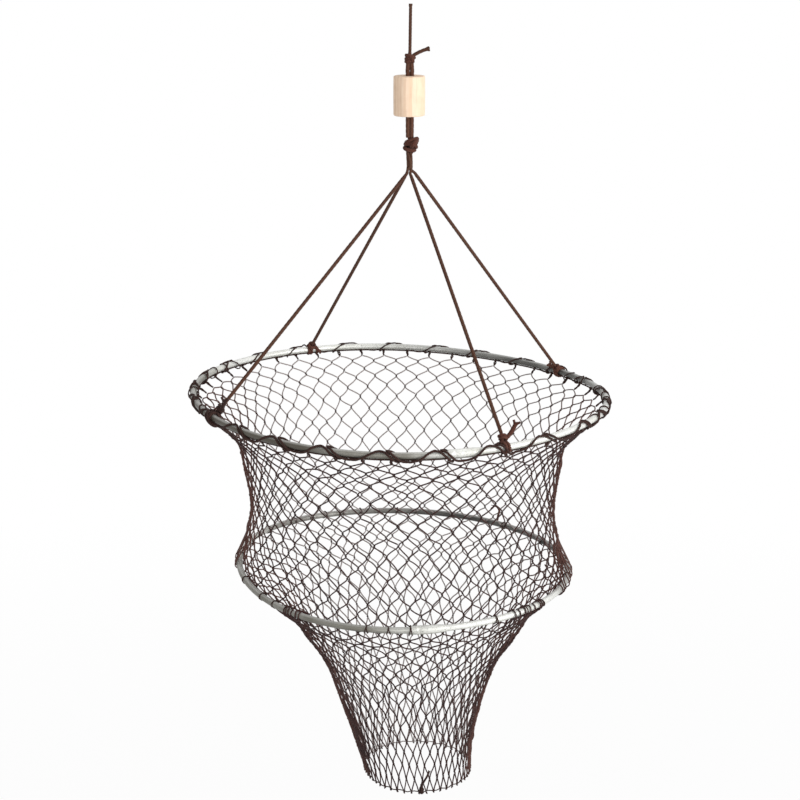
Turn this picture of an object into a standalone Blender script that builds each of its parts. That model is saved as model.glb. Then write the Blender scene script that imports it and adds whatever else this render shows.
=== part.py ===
"""Crayfish drop net: a short haul line, a wooden float, a four-leg bridle, two steel hoops and a bag.

The frame: the origin is the cut end of the haul line, which holds the net up. +Z is up, -Y is the
front and +X is the right. Everything hangs below the origin. All sizes are in metres and degrees.
"""
import math

import bmesh
import bpy
from mathutils import Matrix, Vector

# Fit between pieces that touch
GAP = 0.0003

# Haul line, its knot and its short tail
LINE_DIAMETER = 0.0024
LINE_LENGTH = 0.0444
LINE_KNOT_WIDTH = 0.0088
LINE_KNOT_HEIGHT = 0.0081
LINE_TAIL_REACH = 0.015
LINE_TAIL_RISE = 0.0052

# Strop: the bridle cord doubled through the float
CORD_DIAMETER = 0.0031
STROP_ABOVE_FLOAT = 0.0115
STROP_BELOW_FLOAT = 0.018
FLOAT_LENGTH = 0.0362
FLOAT_DIAMETER = 0.029
FLOAT_BORE = 0.0083
FLOAT_EDGE_ROUND = 0.0012

# Bridle knot and the bundle of legs below it
BRIDLE_KNOT_WIDTH = 0.0152
BRIDLE_KNOT_DEPTH = 0.0120
BRIDLE_KNOT_HEIGHT = 0.0158
THROAT_LENGTH = 0.016

# Hoops: rings of galvanised tube whose ends meet in a sleeve
BRIDLE_DROP = 0.2157
HOOP_TUBE = 0.006
UPPER_HOOP_RADIUS = 0.197
LOWER_HOOP_RADIUS = 0.161
HOOP_SPACING = 0.1765
SLEEVE_WALL = 0.0008
UPPER_SLEEVE_LENGTH = 0.032
LOWER_SLEEVE_LENGTH = 0.034
HOOP_END_GAP = 0.0006

# Net: a wall between the hoops and a bag below the lower hoop
NET_TWINE = 0.0014
NET_COLUMNS = 25
WALL_ROWS = 6
BAG_ROWS = 7
WAIST_RADIUS = 0.1475
BAG_DEPTH = 0.2177
BAG_END_RADIUS = 0.055

# Lacing round the upper hoop, binding round the lower hoop, draw cord in the bag's end
LACING_DIAMETER = 0.0028
BINDING_DIAMETER = 0.0016
BINDING_TAIL_HEIGHT = 0.020
DRAW_CORD_DIAMETER = 0.0018
DRAW_KNOT_WIDTH = 0.0055
DRAW_KNOT_HEIGHT = 0.0078
DRAW_TAIL_HEIGHT = 0.020

# Hitches of the four legs on the upper hoop
HITCH_KNOT_WIDTH = 0.0082
HITCH_KNOT_LENGTH = 0.0105
HITCH_TAIL_LENGTH = 0.0095

# Azimuths in degrees: 0 is the right, -90 the front
LEG_AZIMUTHS = {"front_left": -149.0, "front_right": -62.3, "back_right": 34.3, "back_left": 119.0}
UPPER_SLEEVE_AZIMUTH = -73.5
LOWER_SLEEVE_AZIMUTH = -82.0
LACING_CREST_AZIMUTH = -95.1
BINDING_AZIMUTH = -88.9
DRAW_KNOT_AZIMUTH = -85.0
BINDING_TAIL_AZIMUTH = 52.0

# How far the hanging net leans: the offset of each stage from the line's end, and each hoop's tilt
STROP_X = -0.0006
FLOAT_X = -0.0011
THROAT_X = -0.0026
UPPER_HOOP_X = -0.0094
LOWER_HOOP_X = -0.0060
BAG_END_X = 0.0069
UPPER_TILT = -1.37
LOWER_TILT = -1.68

# The way the net leaves each hoop: degrees inward from straight down (or from straight up)
WALL_TOP_SLANT = 45.0
WALL_FOOT_SLANT = 13.0
BAG_TOP_SLANT = 45.0

# Shape of the net's outline: pairs of the share of the height and the share of the way out to the hoop,
# and for the lean of the bag the share of the way to the bag end's own offset
WALL_SHAPE_ABOVE_WAIST = ((0.11, 0.61), (0.24, 0.22), (0.42, 0.10))
WAIST_HEIGHT_SHARE = 0.65
WALL_SHAPE_BELOW_WAIST = ((0.85, 0.55),)
BAG_LEAN = ((0.08, 0.12), (0.22, 0.45), (0.45, 0.52), (0.65, 0.58), (0.86, 0.8))
BAG_SHAPE = ((0.074, 0.85), (0.156, 0.65), (0.276, 0.49), (0.436, 0.30), (0.643, 0.15), (0.85, 0.042))

# Facets
HOOP_POINTS = 54
TURN_POINTS = 8
CORD_SIDES = 2
FLOAT_SIDES = 28

# What follows from the sizes above
CORD_RADIUS = CORD_DIAMETER / 2
LINE_RADIUS = LINE_DIAMETER / 2
HOOP_TUBE_RADIUS = HOOP_TUBE / 2
TWINE_RADIUS = NET_TWINE / 2
LACING_RADIUS = LACING_DIAMETER / 2
BINDING_RADIUS = BINDING_DIAMETER / 2
DRAW_CORD_RADIUS = DRAW_CORD_DIAMETER / 2
STRAND_OFFSET = CORD_RADIUS + GAP / 2
SLEEVE_OUTER_RADIUS = HOOP_TUBE_RADIUS + GAP + SLEEVE_WALL
MESH_STEP = 360.0 / NET_COLUMNS

LINE_KNOT_TOP = -LINE_LENGTH - GAP
LINE_KNOT_BOTTOM = LINE_KNOT_TOP - LINE_KNOT_HEIGHT
FLOAT_TOP = LINE_KNOT_BOTTOM - STROP_ABOVE_FLOAT
FLOAT_BOTTOM = FLOAT_TOP - FLOAT_LENGTH
BRIDLE_KNOT_TOP = FLOAT_BOTTOM - STROP_BELOW_FLOAT
BRIDLE_KNOT_BOTTOM = BRIDLE_KNOT_TOP - BRIDLE_KNOT_HEIGHT
APEX_Z = BRIDLE_KNOT_BOTTOM - THROAT_LENGTH
UPPER_HOOP_Z = APEX_Z - BRIDLE_DROP
LOWER_HOOP_Z = UPPER_HOOP_Z - HOOP_SPACING
BAG_END_Z = LOWER_HOOP_Z - BAG_DEPTH

# A net knot next to a hoop lies this far from the tube's centre line
NET_KNOT_REACH = 2.3 * TWINE_RADIUS
NET_KNOT_DROP = HOOP_TUBE_RADIUS + GAP + NET_KNOT_REACH
# A lace passes a net knot inside its mesh, this many times its own clearance away from the knot
LACING_ROOM = 2.15
BINDING_ROOM = 3.0
DRAW_CORD_ROOM = 1.8


def clear_scene():
    """Remove every object that the scene holds."""
    for old in list(bpy.data.objects):
        bpy.data.objects.remove(old, do_unlink=True)


def material(name, colour, roughness, metallic=0.0):
    """A Principled material with one colour."""
    made = bpy.data.materials.new(name)
    made.use_nodes = True
    shader = made.node_tree.nodes["Principled BSDF"]
    shader.inputs["Base Color"].default_value = (*colour, 1.0)
    shader.inputs["Roughness"].default_value = roughness
    shader.inputs["Metallic"].default_value = metallic
    return made


def add_object(name, data, finish, parent=None):
    """Link a mesh or curve as a named object, with its material and parent."""
    made = bpy.data.objects.new(name, data)
    data.materials.append(finish)
    bpy.context.scene.collection.objects.link(made)
    made.parent = parent
    return made


def stage_empty(name, place, tilt=0.0):
    """An empty at the centre of a stage of the net; its pieces are its children."""
    made = bpy.data.objects.new(name, None)
    made.empty_display_size = 0.03
    made.location = place
    made.rotation_euler = (0.0, -math.radians(tilt), 0.0)
    bpy.context.scene.collection.objects.link(made)
    return made


def smooth_route(points, steps):
    """Points on a smooth curve through the given points, with the given steps between each two."""
    ends = [points[0] * 2 - points[1]] + list(points) + [points[-1] * 2 - points[-2]]
    route = []
    for before, start, end, after in zip(ends, ends[1:], ends[2:], ends[3:]):
        for step in range(steps):
            t = step / steps
            route.append(0.5 * (2 * start + (end - before) * t
                                + (2 * before - 5 * start + 4 * end - after) * t ** 2
                                + (3 * start - before - 3 * end + after) * t ** 3))
    route.append(points[-1])
    return route


def tube(name, points, radius, finish, parent=None, closed=False, resolution=CORD_SIDES):
    """A round cord or tube along the points, with filled ends."""
    curve = bpy.data.curves.new(name, "CURVE")
    curve.dimensions = "3D"
    curve.bevel_depth = radius
    curve.bevel_resolution = resolution
    curve.use_fill_caps = not closed
    curve.twist_mode = "MINIMUM"
    spline = curve.splines.new("POLY")
    spline.points.add(len(points) - 1)
    for target, place in zip(spline.points, points):
        target.co = (*place, 1.0)
    spline.use_cyclic_u = closed
    spline.use_smooth = True
    return add_object(name, curve, finish, parent)


def mesh_from(name, builder):
    """Turn a filled bmesh into mesh data and shade it smooth."""
    data = bpy.data.meshes.new(name)
    builder.to_mesh(data)
    builder.free()
    data.shade_smooth()
    return data


def knot_body(name, centre, width, depth, height, wraps, finish, direction=None, parent=None):
    """A pulled-up knot: an egg with a groove that winds round it between the turns of cord."""
    rings, sides = 9, 12
    groove = 0.10
    builder = bmesh.new()
    bmesh.ops.create_uvsphere(builder, u_segments=sides, v_segments=rings, radius=0.5)
    for vert in builder.verts:
        azimuth = math.atan2(vert.co.y, vert.co.x)
        share = vert.co.z + 0.5
        flat = 1.0 - abs(2.0 * share - 1.0) ** 3
        wave = math.cos(wraps * math.tau * share + azimuth)
        swell = 1.0 - groove * (1.0 - wave) / 2 * flat
        vert.co.x *= width * swell
        vert.co.y *= depth * swell
        vert.co.z *= height
    turn = Matrix.Identity(4)
    if direction is not None:
        turn = direction.to_track_quat("Z", "Y").to_matrix().to_4x4()
    bmesh.ops.transform(builder, matrix=Matrix.Translation(centre) @ turn, verts=builder.verts)
    return add_object(name, mesh_from(name, builder), finish, parent)


def hoop_point(radius, azimuth, height=0.0):
    """A point in a hoop's own frame, at an azimuth in degrees."""
    angle = math.radians(azimuth)
    return Vector((radius * math.cos(angle), radius * math.sin(angle), height))


def hoop(name, radius, sleeve_azimuth, sleeve_length, finish, parent):
    """A ring of tube, open by a hair inside its sleeve, where its points lie closer."""
    opening = math.degrees(HOOP_END_GAP / radius)
    span = 360.0 - opening
    start = sleeve_azimuth + opening / 2
    half = math.degrees(sleeve_length / 2 / radius)
    covered = [half * k / 3 for k in range(3)]
    open_part = [half + (span - 2 * half) * k / HOOP_POINTS for k in range(HOOP_POINTS + 1)]
    turns = covered + open_part + [span - turn for turn in reversed(covered)]
    points = [hoop_point(radius, start + turn) for turn in turns]
    return tube(name, points, HOOP_TUBE_RADIUS, finish, parent)


def sleeve(name, hoop_radius, azimuth, length, finish, parent):
    """The swaged sleeve that holds a hoop's two ends: a bent pipe with a thin wall."""
    sides, steps = 14, 6
    arc = length / hoop_radius
    builder = bmesh.new()
    middle_radius = HOOP_TUBE_RADIUS + GAP + SLEEVE_WALL / 2
    ring = bmesh.ops.create_circle(builder, segments=sides, radius=middle_radius)["verts"]
    stand = Matrix.Rotation(math.radians(90), 4, "X")
    turn = Matrix.Rotation(math.radians(azimuth) - arc / 2, 4, "Z")
    place = turn @ Matrix.Translation((hoop_radius, 0.0, 0.0)) @ stand
    bmesh.ops.transform(builder, matrix=place, verts=ring)
    bmesh.ops.spin(builder, geom=builder.edges[:], axis=(0, 0, 1), cent=(0, 0, 0), angle=arc, steps=steps)
    bmesh.ops.recalc_face_normals(builder, faces=builder.faces[:])
    made = add_object(name, mesh_from(name, builder), finish, parent)
    wall = made.modifiers.new("wall", "SOLIDIFY")
    wall.thickness = SLEEVE_WALL
    wall.offset = 0.0
    wall.use_rim = True
    return made


def smooth_step(share):
    """A smooth rise from 0 to 1."""
    share = min(1.0, max(0.0, share))
    return share * share * (3.0 - 2.0 * share)


def turn_apart(azimuth, other):
    """The angle between two azimuths, in degrees."""
    return abs((azimuth - other + 180.0) % 360.0 - 180.0)


def reach_over(azimuth, hoop_radius, lace_radius, obstacles):
    """How far a lace's centre line keeps from the tube's, where it must pass over other pieces."""
    reach = HOOP_TUBE_RADIUS + GAP + lace_radius
    fade = 0.007
    for place, half_length, outer_radius in obstacles:
        apart = math.radians(turn_apart(azimuth, place)) * hoop_radius
        cover = half_length + lace_radius + GAP
        share = smooth_step(1.0 - (apart - cover) / fade)
        wanted = outer_radius + GAP + lace_radius
        reach = max(reach, reach + (wanted - reach) * share)
    return reach / math.cos(math.pi / TURN_POINTS)


def upper_obstacles():
    """What the rim lacing passes over: each hitch and the upper sleeve."""
    hitch_half = 1.5 * (CORD_DIAMETER + GAP)
    hitch_outer = HOOP_TUBE_RADIUS + GAP + CORD_DIAMETER
    places = [(azimuth, hitch_half, hitch_outer) for azimuth in LEG_AZIMUTHS.values()]
    places.append((UPPER_SLEEVE_AZIMUTH, UPPER_SLEEVE_LENGTH / 2, SLEEVE_OUTER_RADIUS))
    return places


def round_reach(phi, base, lobes):
    """The reach of a lace round a tube: the base, and more where it passes through the net's meshes."""
    reach = base
    for slant, corner in lobes:
        toward = max(0.0, math.cos(phi - math.radians(slant)))
        reach = max(reach, base + (corner - base) * toward ** 2)
    return reach


def corner_reach(lace_radius, room):
    """How far from the tube's centre line a lace passes a net knot, inside the knot's mesh."""
    return NET_KNOT_DROP + room * (lace_radius + TWINE_RADIUS + GAP)


def lacing_along(u):
    """The share of a column that the lacing has moved along at a share of its turn."""
    lean = 0.08
    return u + 0.9 / math.tau * (math.sin(math.tau * (u - lean)) + math.sin(math.tau * lean))


def binding_along(u):
    """The same for the binding, which goes straight across where it passes through the meshes."""
    outside = smooth_step((u - 0.05) / 0.5)
    inside = smooth_step((u - 0.70) / 0.2)
    return (outside + inside) / 2


def crest_push(azimuth):
    """How far a crest of the lacing is laid aside, in degrees, where it would meet a hitch's knot."""
    room = math.degrees((HITCH_KNOT_WIDTH / 2 + 2 * LACING_DIAMETER) / UPPER_HOOP_RADIUS)
    for hitch in LEG_AZIMUTHS.values():
        apart = (azimuth - hitch + 180.0) % 360.0 - 180.0
        if abs(apart) < room:
            return math.copysign(room, apart) - apart
    return 0.0


def rim_lacing(finish, parent):
    """The thick twine wound round the upper hoop, once for each column of the net."""
    points = []
    obstacles = upper_obstacles()
    lobes = [(-90.0 - WALL_TOP_SLANT, corner_reach(LACING_RADIUS, LACING_ROOM))]
    for turn in range(NET_COLUMNS):
        crest = LACING_CREST_AZIMUTH + MESH_STEP * turn
        for step in range(TURN_POINTS):
            u = step / TURN_POINTS
            nearest = crest if u < 0.5 else crest + MESH_STEP
            aside = crest_push(nearest) * ((1.0 + math.cos(math.tau * u)) / 2) ** 2
            azimuth = crest + MESH_STEP * lacing_along(u) + aside
            phi = math.radians(90.0 - 360.0 * u)
            base = reach_over(azimuth, UPPER_HOOP_RADIUS, LACING_RADIUS, obstacles)
            reach = round_reach(phi, base, lobes)
            across = UPPER_HOOP_RADIUS + reach * math.cos(phi)
            points.append(hoop_point(across, azimuth, reach * math.sin(phi)))
    return tube("rim_lacing", points, LACING_RADIUS, finish, parent, closed=True, resolution=0)


def lower_binding(finish, parent):
    """The twine wound round the lower hoop, through the wall's meshes above and the bag's below."""
    points = []
    obstacles = [(LOWER_SLEEVE_AZIMUTH, LOWER_SLEEVE_LENGTH / 2, SLEEVE_OUTER_RADIUS)]
    corner = corner_reach(BINDING_RADIUS, BINDING_ROOM)
    lobes = [(90.0 + WALL_FOOT_SLANT, corner), (-90.0 - BAG_TOP_SLANT, corner)]
    for turn in range(NET_COLUMNS):
        for step in range(TURN_POINTS):
            u = step / TURN_POINTS
            azimuth = BINDING_AZIMUTH + MESH_STEP * (turn + binding_along(u))
            phi = math.radians(90.0 - 360.0 * u)
            base = reach_over(azimuth, LOWER_HOOP_RADIUS, BINDING_RADIUS, obstacles)
            reach = round_reach(phi, base, lobes)
            across = LOWER_HOOP_RADIUS + reach * math.cos(phi)
            points.append(hoop_point(across, azimuth, reach * math.sin(phi)))
    return tube("lower_binding", points, BINDING_RADIUS, finish, parent, closed=True, resolution=0)


def outline(pairs):
    """Evenly spaced stations along a smooth outline: lists of (height share, radius)."""
    route = smooth_route([Vector((share, radius, 0.0)) for share, radius in pairs], 12)
    return [(point.x, point.y) for point in route]


def seat_inward(slant):
    """How far inside a hoop's centre line the net's edge knots lie."""
    return NET_KNOT_DROP * math.sin(math.radians(slant))


def seat_along(slant):
    """How far above or below a hoop's plane the net's edge knots lie."""
    return NET_KNOT_DROP * math.cos(math.radians(slant))


def seat_shift(slant, upward, hoop_radius, sleeve_azimuth, sleeve_length):
    """A function of azimuth: the extra step of a net knot off the hoop where the sleeve covers it."""
    covered = math.degrees((sleeve_length / 2 + NET_TWINE) / hoop_radius)
    step = SLEEVE_OUTER_RADIUS - HOOP_TUBE_RADIUS
    angle = math.radians(slant)

    def shift(azimuth):
        if turn_apart(azimuth, sleeve_azimuth) > covered:
            return Vector()
        return hoop_point(-step * math.sin(angle), azimuth, upward * step * math.cos(angle))

    return shift


def no_shift(azimuth):
    """The step of a net knot that hangs free."""
    return Vector()


def wall_outline():
    """The wall's outline, from the upper hoop in to the waist and out to the lower hoop."""
    pairs = [(0.0, UPPER_HOOP_RADIUS - seat_inward(WALL_TOP_SLANT))]
    for height, share in WALL_SHAPE_ABOVE_WAIST:
        pairs.append((height, WAIST_RADIUS + (UPPER_HOOP_RADIUS - WAIST_RADIUS) * share))
    pairs.append((WAIST_HEIGHT_SHARE, WAIST_RADIUS))
    for height, share in WALL_SHAPE_BELOW_WAIST:
        pairs.append((height, WAIST_RADIUS + (LOWER_HOOP_RADIUS - WAIST_RADIUS) * share))
    pairs.append((1.0, LOWER_HOOP_RADIUS - seat_inward(WALL_FOOT_SLANT)))
    return outline(pairs)


def bag_outline():
    """The bag's outline, from the lower hoop in to the draw cord."""
    pairs = [(0.0, LOWER_HOOP_RADIUS - seat_inward(BAG_TOP_SLANT))]
    for height, share in BAG_SHAPE:
        pairs.append((height, BAG_END_RADIUS + (LOWER_HOOP_RADIUS - BAG_END_RADIUS) * share))
    pairs.append((1.0, BAG_END_RADIUS))
    return outline(pairs)


def reading(pairs, share):
    """The value at a share between pairs of (share, value)."""
    k = next(i for i in range(1, len(pairs)) if share <= pairs[i][0] + 1e-9)
    (s0, v0), (s1, v1) = pairs[k - 1], pairs[k]
    return v0 + (v1 - v0) * (share - s0) / (s1 - s0)


def net_surface(stations, lean, top, bottom, top_tilt, bottom_tilt):
    """A function of (share of the outline's length, azimuth) that gives a point of the net."""
    height = top.z - bottom.z
    levels = [(0.0, 0.0)]
    for (h0, r0), (h1, r1) in zip(stations, stations[1:]):
        levels.append((levels[-1][0] + math.hypot((h1 - h0) * height, r1 - r0), h1))
    whole = levels[-1][0]
    levels = [(length / whole, level) for length, level in levels]
    lean = outline([(0.0, 0.0)] + list(lean) + [(1.0, 1.0)])

    def surface(share, azimuth):
        level = reading(levels, share)
        tilt = math.radians(top_tilt + (bottom_tilt - top_tilt) * level)
        flat = hoop_point(reading(stations, level), azimuth)
        centre = top.lerp(bottom, level)
        centre.x = top.x + (bottom.x - top.x) * reading(lean, level)
        return centre + Vector((flat.x * math.cos(tilt), flat.y, flat.x * math.sin(tilt)))

    return surface


def diamond_net(name, surface, rows, first_phase, last_phase, first_shift, last_shift, finish):
    """Diamond meshes over a surface; every edge becomes a strand, and the strands are one body."""
    builder = bmesh.new()
    levels = []
    for row in range(rows + 1):
        share = row / rows
        phase = first_phase + (last_phase - first_phase) * share + MESH_STEP / 2 * (row % 2)
        azimuths = [phase + MESH_STEP * k for k in range(NET_COLUMNS)]
        shift = {0: first_shift, rows: last_shift}.get(row, no_shift)
        levels.append([builder.verts.new(surface(share, azimuth) + shift(azimuth)) for azimuth in azimuths])
    for row in range(rows - 1):
        odd = row % 2
        for k in range(NET_COLUMNS):
            left = levels[row + 1][k - 1 + odd]
            right = levels[row + 1][(k + odd) % NET_COLUMNS]
            builder.faces.new((levels[row][k], left, levels[row + 2][k], right))
    made = add_object(name, mesh_from(name, builder), finish)
    strands = made.modifiers.new("strands", "WIREFRAME")
    strands.thickness = NET_TWINE
    strands.offset = 0.0
    strands.use_replace = True
    strands.use_boundary = True
    strands.use_even_offset = True
    return made


def haul_line(finish):
    """The short line that the net hangs on, ending in its cut end at the origin."""
    sway = 0.0002
    route = [Vector((0.0, 0.0, 0.0)),
             Vector((-sway, 0.0, -LINE_LENGTH * 0.35)),
             Vector((-2 * sway, 0.0, -LINE_LENGTH * 0.7)),
             Vector((STROP_X, 0.0, -LINE_LENGTH))]
    return tube("haul_line", smooth_route(route, 3), LINE_RADIUS, finish)


def line_tail(finish):
    """The short end that stands out of the line's knot."""
    centre = Vector((STROP_X, 0.0, (LINE_KNOT_TOP + LINE_KNOT_BOTTOM) / 2))
    shoulder = Vector((1.0, 0.0, 0.92)).normalized()
    start = centre + shoulder * (LINE_KNOT_WIDTH / 2 + 1.5 * GAP)
    route = [start,
             start + Vector((LINE_TAIL_REACH * 0.33, 0.0, LINE_TAIL_RISE * 0.42)),
             start + Vector((LINE_TAIL_REACH * 0.7, 0.0, LINE_TAIL_RISE * 0.8)),
             start + Vector((LINE_TAIL_REACH, 0.0, LINE_TAIL_RISE))]
    return tube("line_tail", smooth_route(route, 2), CORD_RADIUS * 0.85, finish)


def strop(finish):
    """The two strands that carry the float, from the line's knot to the bridle knot."""
    for name, side in (("strop_left", -1), ("strop_right", 1)):
        x = STROP_X + side * STRAND_OFFSET
        top = LINE_KNOT_BOTTOM - GAP
        bottom = BRIDLE_KNOT_TOP + GAP
        points = [Vector((x, 0.0, top + (bottom - top) * k / 9)) for k in range(10)]
        tube(name, points, CORD_RADIUS, finish)


def wooden_float(finish):
    """A turned wooden cylinder with a bore for the strop."""
    builder = bmesh.new()
    outer = FLOAT_DIAMETER / 2
    inner = FLOAT_BORE / 2
    half = FLOAT_LENGTH / 2
    edge = FLOAT_EDGE_ROUND
    section = [(outer - edge, half), (outer, half - edge), (outer, edge - half), (outer - edge, -half),
               (inner, -half), (inner, half)]
    verts = [builder.verts.new((x, 0.0, z)) for x, z in section]
    for a, b in zip(verts, verts[1:] + verts[:1]):
        builder.edges.new((a, b))
    bmesh.ops.spin(builder, geom=builder.verts[:] + builder.edges[:], axis=(0, 0, 1), cent=(0, 0, 0),
                   angle=math.tau, steps=FLOAT_SIDES, use_merge=True)
    bmesh.ops.recalc_face_normals(builder, faces=builder.faces[:])
    data = mesh_from("wooden_float", builder)
    data.set_sharp_from_angle(angle=math.radians(30))
    made = add_object("wooden_float", data, finish)
    made.location = (FLOAT_X, 0.0, (FLOAT_TOP + FLOAT_BOTTOM) / 2)
    return made


def hitch_centre(azimuth):
    """The middle of a hitch's knot in the upper hoop's frame, on top of its turns."""
    leaning_share = 0.91
    height = HOOP_TUBE_RADIUS + 2 * GAP + CORD_DIAMETER + leaning_share * HITCH_KNOT_LENGTH / 2
    return hoop_point(UPPER_HOOP_RADIUS, azimuth, height)


def bridle(cord, knot, hoop_frame):
    """The four legs, each from the bridle knot down the throat and out to its hitch."""
    sides = {"front_left": (-1, -1), "front_right": (1, -1), "back_right": (1, 1), "back_left": (-1, 1)}
    for name, azimuth in LEG_AZIMUTHS.items():
        offset = Vector((sides[name][0] * STRAND_OFFSET, sides[name][1] * STRAND_OFFSET, 0.0))
        top = Vector((STROP_X, 0.0, BRIDLE_KNOT_BOTTOM - GAP)) + offset
        middle = Vector((THROAT_X, 0.0, APEX_Z + THROAT_LENGTH * 0.5)) + offset
        above = Vector((THROAT_X, 0.0, APEX_Z + CORD_DIAMETER)) + offset * 1.05
        apex = Vector((THROAT_X, 0.0, APEX_Z)) + offset * 1.25
        knot_middle = hoop_frame @ hitch_centre(azimuth)
        slope = (apex - knot_middle).normalized()
        end = knot_middle + slope * (HITCH_KNOT_LENGTH / 2 + GAP)
        bend = apex - slope * CORD_DIAMETER
        straight = [bend.lerp(end, k / 8) for k in range(1, 9)]
        route = smooth_route([top, middle, above, apex, bend], 2) + straight
        tube("bridle_leg_" + name, route, CORD_RADIUS, cord)
        knot_body("hitch_knot_" + name, knot_middle, HITCH_KNOT_WIDTH, HITCH_KNOT_WIDTH, HITCH_KNOT_LENGTH,
                  2, knot, direction=slope)


def hitch_turns(finish, parent):
    """The two turns of each leg round the upper hoop, under its knot."""
    turns = 2
    steps = 9
    radius = HOOP_TUBE_RADIUS + GAP + CORD_RADIUS
    pitch = CORD_DIAMETER + GAP
    for name, azimuth in LEG_AZIMUTHS.items():
        points = []
        for step in range(turns * steps + 1):
            t = step / steps
            phi = math.radians(90.0 - 360.0 * t)
            along = math.degrees(pitch * (t - turns / 2) / UPPER_HOOP_RADIUS)
            points.append(hoop_point(UPPER_HOOP_RADIUS + radius * math.cos(phi), azimuth + along,
                                     radius * math.sin(phi)))
        tube("hitch_turns_" + name, points, CORD_RADIUS, finish, parent, resolution=1)


def hitch_tails(finish, hoop_frame):
    """The cut end that each hitch leaves, standing out of its knot along the hoop."""
    leans = {"front_left": (-1.0, 0.5), "front_right": (1.0, 0.8),
             "back_right": (1.0, 0.3), "back_left": (-1.0, 0.1)}
    for name, azimuth in LEG_AZIMUTHS.items():
        side, climb = leans[name]
        middle = hitch_centre(azimuth)
        sideways = hoop_point(1.0, azimuth + 90.0 * side)
        rise = Vector((0.0, 0.0, climb))
        start = middle + sideways * (HITCH_KNOT_WIDTH / 2 + GAP)
        route = [start, start + sideways * HITCH_TAIL_LENGTH * 0.3,
                 start + (sideways + rise * 0.5) * HITCH_TAIL_LENGTH * 0.65,
                 start + (sideways + rise) * HITCH_TAIL_LENGTH * 0.9]
        points = [hoop_frame @ point for point in smooth_route(route, 2)]
        tube("hitch_tail_" + name, points, CORD_RADIUS * 0.8, finish)


def draw_cord(finish, parent):
    """The cord woven out and in through the bag's last meshes, from its knot round to its knot."""
    weave = TWINE_RADIUS + GAP + DRAW_CORD_RADIUS
    rise = DRAW_CORD_ROOM * (DRAW_CORD_RADIUS + TWINE_RADIUS + GAP)
    margin = math.degrees((DRAW_KNOT_WIDTH / 2 + GAP) / BAG_END_RADIUS) / MESH_STEP
    first = -0.5 + margin
    last = NET_COLUMNS - 0.5 - margin
    thirds = [k / 3 for k in range(3 * NET_COLUMNS) if first < k / 3 < last]
    points = []
    for column in [first] + thirds + [last]:
        azimuth = DRAW_KNOT_AZIMUTH + MESH_STEP * (column + 0.5)
        points.append(hoop_point(BAG_END_RADIUS + 1.35 * weave * math.cos(math.pi * column), azimuth, rise))
    return tube("draw_cord", points, DRAW_CORD_RADIUS, finish, parent, resolution=0)


def draw_knot_and_tail(finish, parent):
    """The knot of the draw cord at the front, and its end lying up the bag."""
    rise = DRAW_CORD_ROOM * (DRAW_CORD_RADIUS + TWINE_RADIUS + GAP)
    centre = hoop_point(BAG_END_RADIUS, DRAW_KNOT_AZIMUTH, rise)
    knot_body("draw_knot", centre, DRAW_KNOT_WIDTH, DRAW_KNOT_WIDTH, DRAW_KNOT_HEIGHT, 2, finish,
              parent=parent)
    outward = hoop_point(1.0, DRAW_KNOT_AZIMUTH)
    foot = centre + outward * 0.0008 + Vector((0.0, 0.0, DRAW_KNOT_HEIGHT / 2 + GAP))
    route = [foot,
             foot + outward * 0.0009 + Vector((0.0004, 0.0, DRAW_TAIL_HEIGHT * 0.15)),
             foot + outward * 0.0040 + Vector((0.0024, 0.0, DRAW_TAIL_HEIGHT * 0.45)),
             foot + outward * 0.0056 + Vector((0.0050, 0.0, DRAW_TAIL_HEIGHT * 0.75)),
             foot + outward * 0.0060 + Vector((0.0066, 0.0, DRAW_TAIL_HEIGHT))]
    tube("draw_cord_tail", smooth_route(route, 3), DRAW_CORD_RADIUS, finish, parent, resolution=1)


def binding_tail(finish, parent):
    """The hooked end of the binding twine that stands on the back of the lower hoop."""
    foot = hoop_point(LOWER_HOOP_RADIUS, BINDING_TAIL_AZIMUTH, HOOP_TUBE_RADIUS + GAP)
    inward = hoop_point(-1.0, BINDING_TAIL_AZIMUTH)
    across = hoop_point(1.0, BINDING_TAIL_AZIMUTH + 90.0)
    up = Vector((0.0, 0.0, BINDING_TAIL_HEIGHT))
    route = [foot,
             foot + inward * 0.001 + up * 0.15,
             foot + inward * 0.008 + up * 0.4,
             foot + inward * 0.012 + across * -0.002 + up * 0.8,
             foot + inward * 0.013 + across * 0.002 + up,
             foot + inward * 0.013 + across * 0.006 + up * 0.92]
    tube("binding_tail", smooth_route(route, 2), BINDING_RADIUS, finish, parent, resolution=1)


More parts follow.
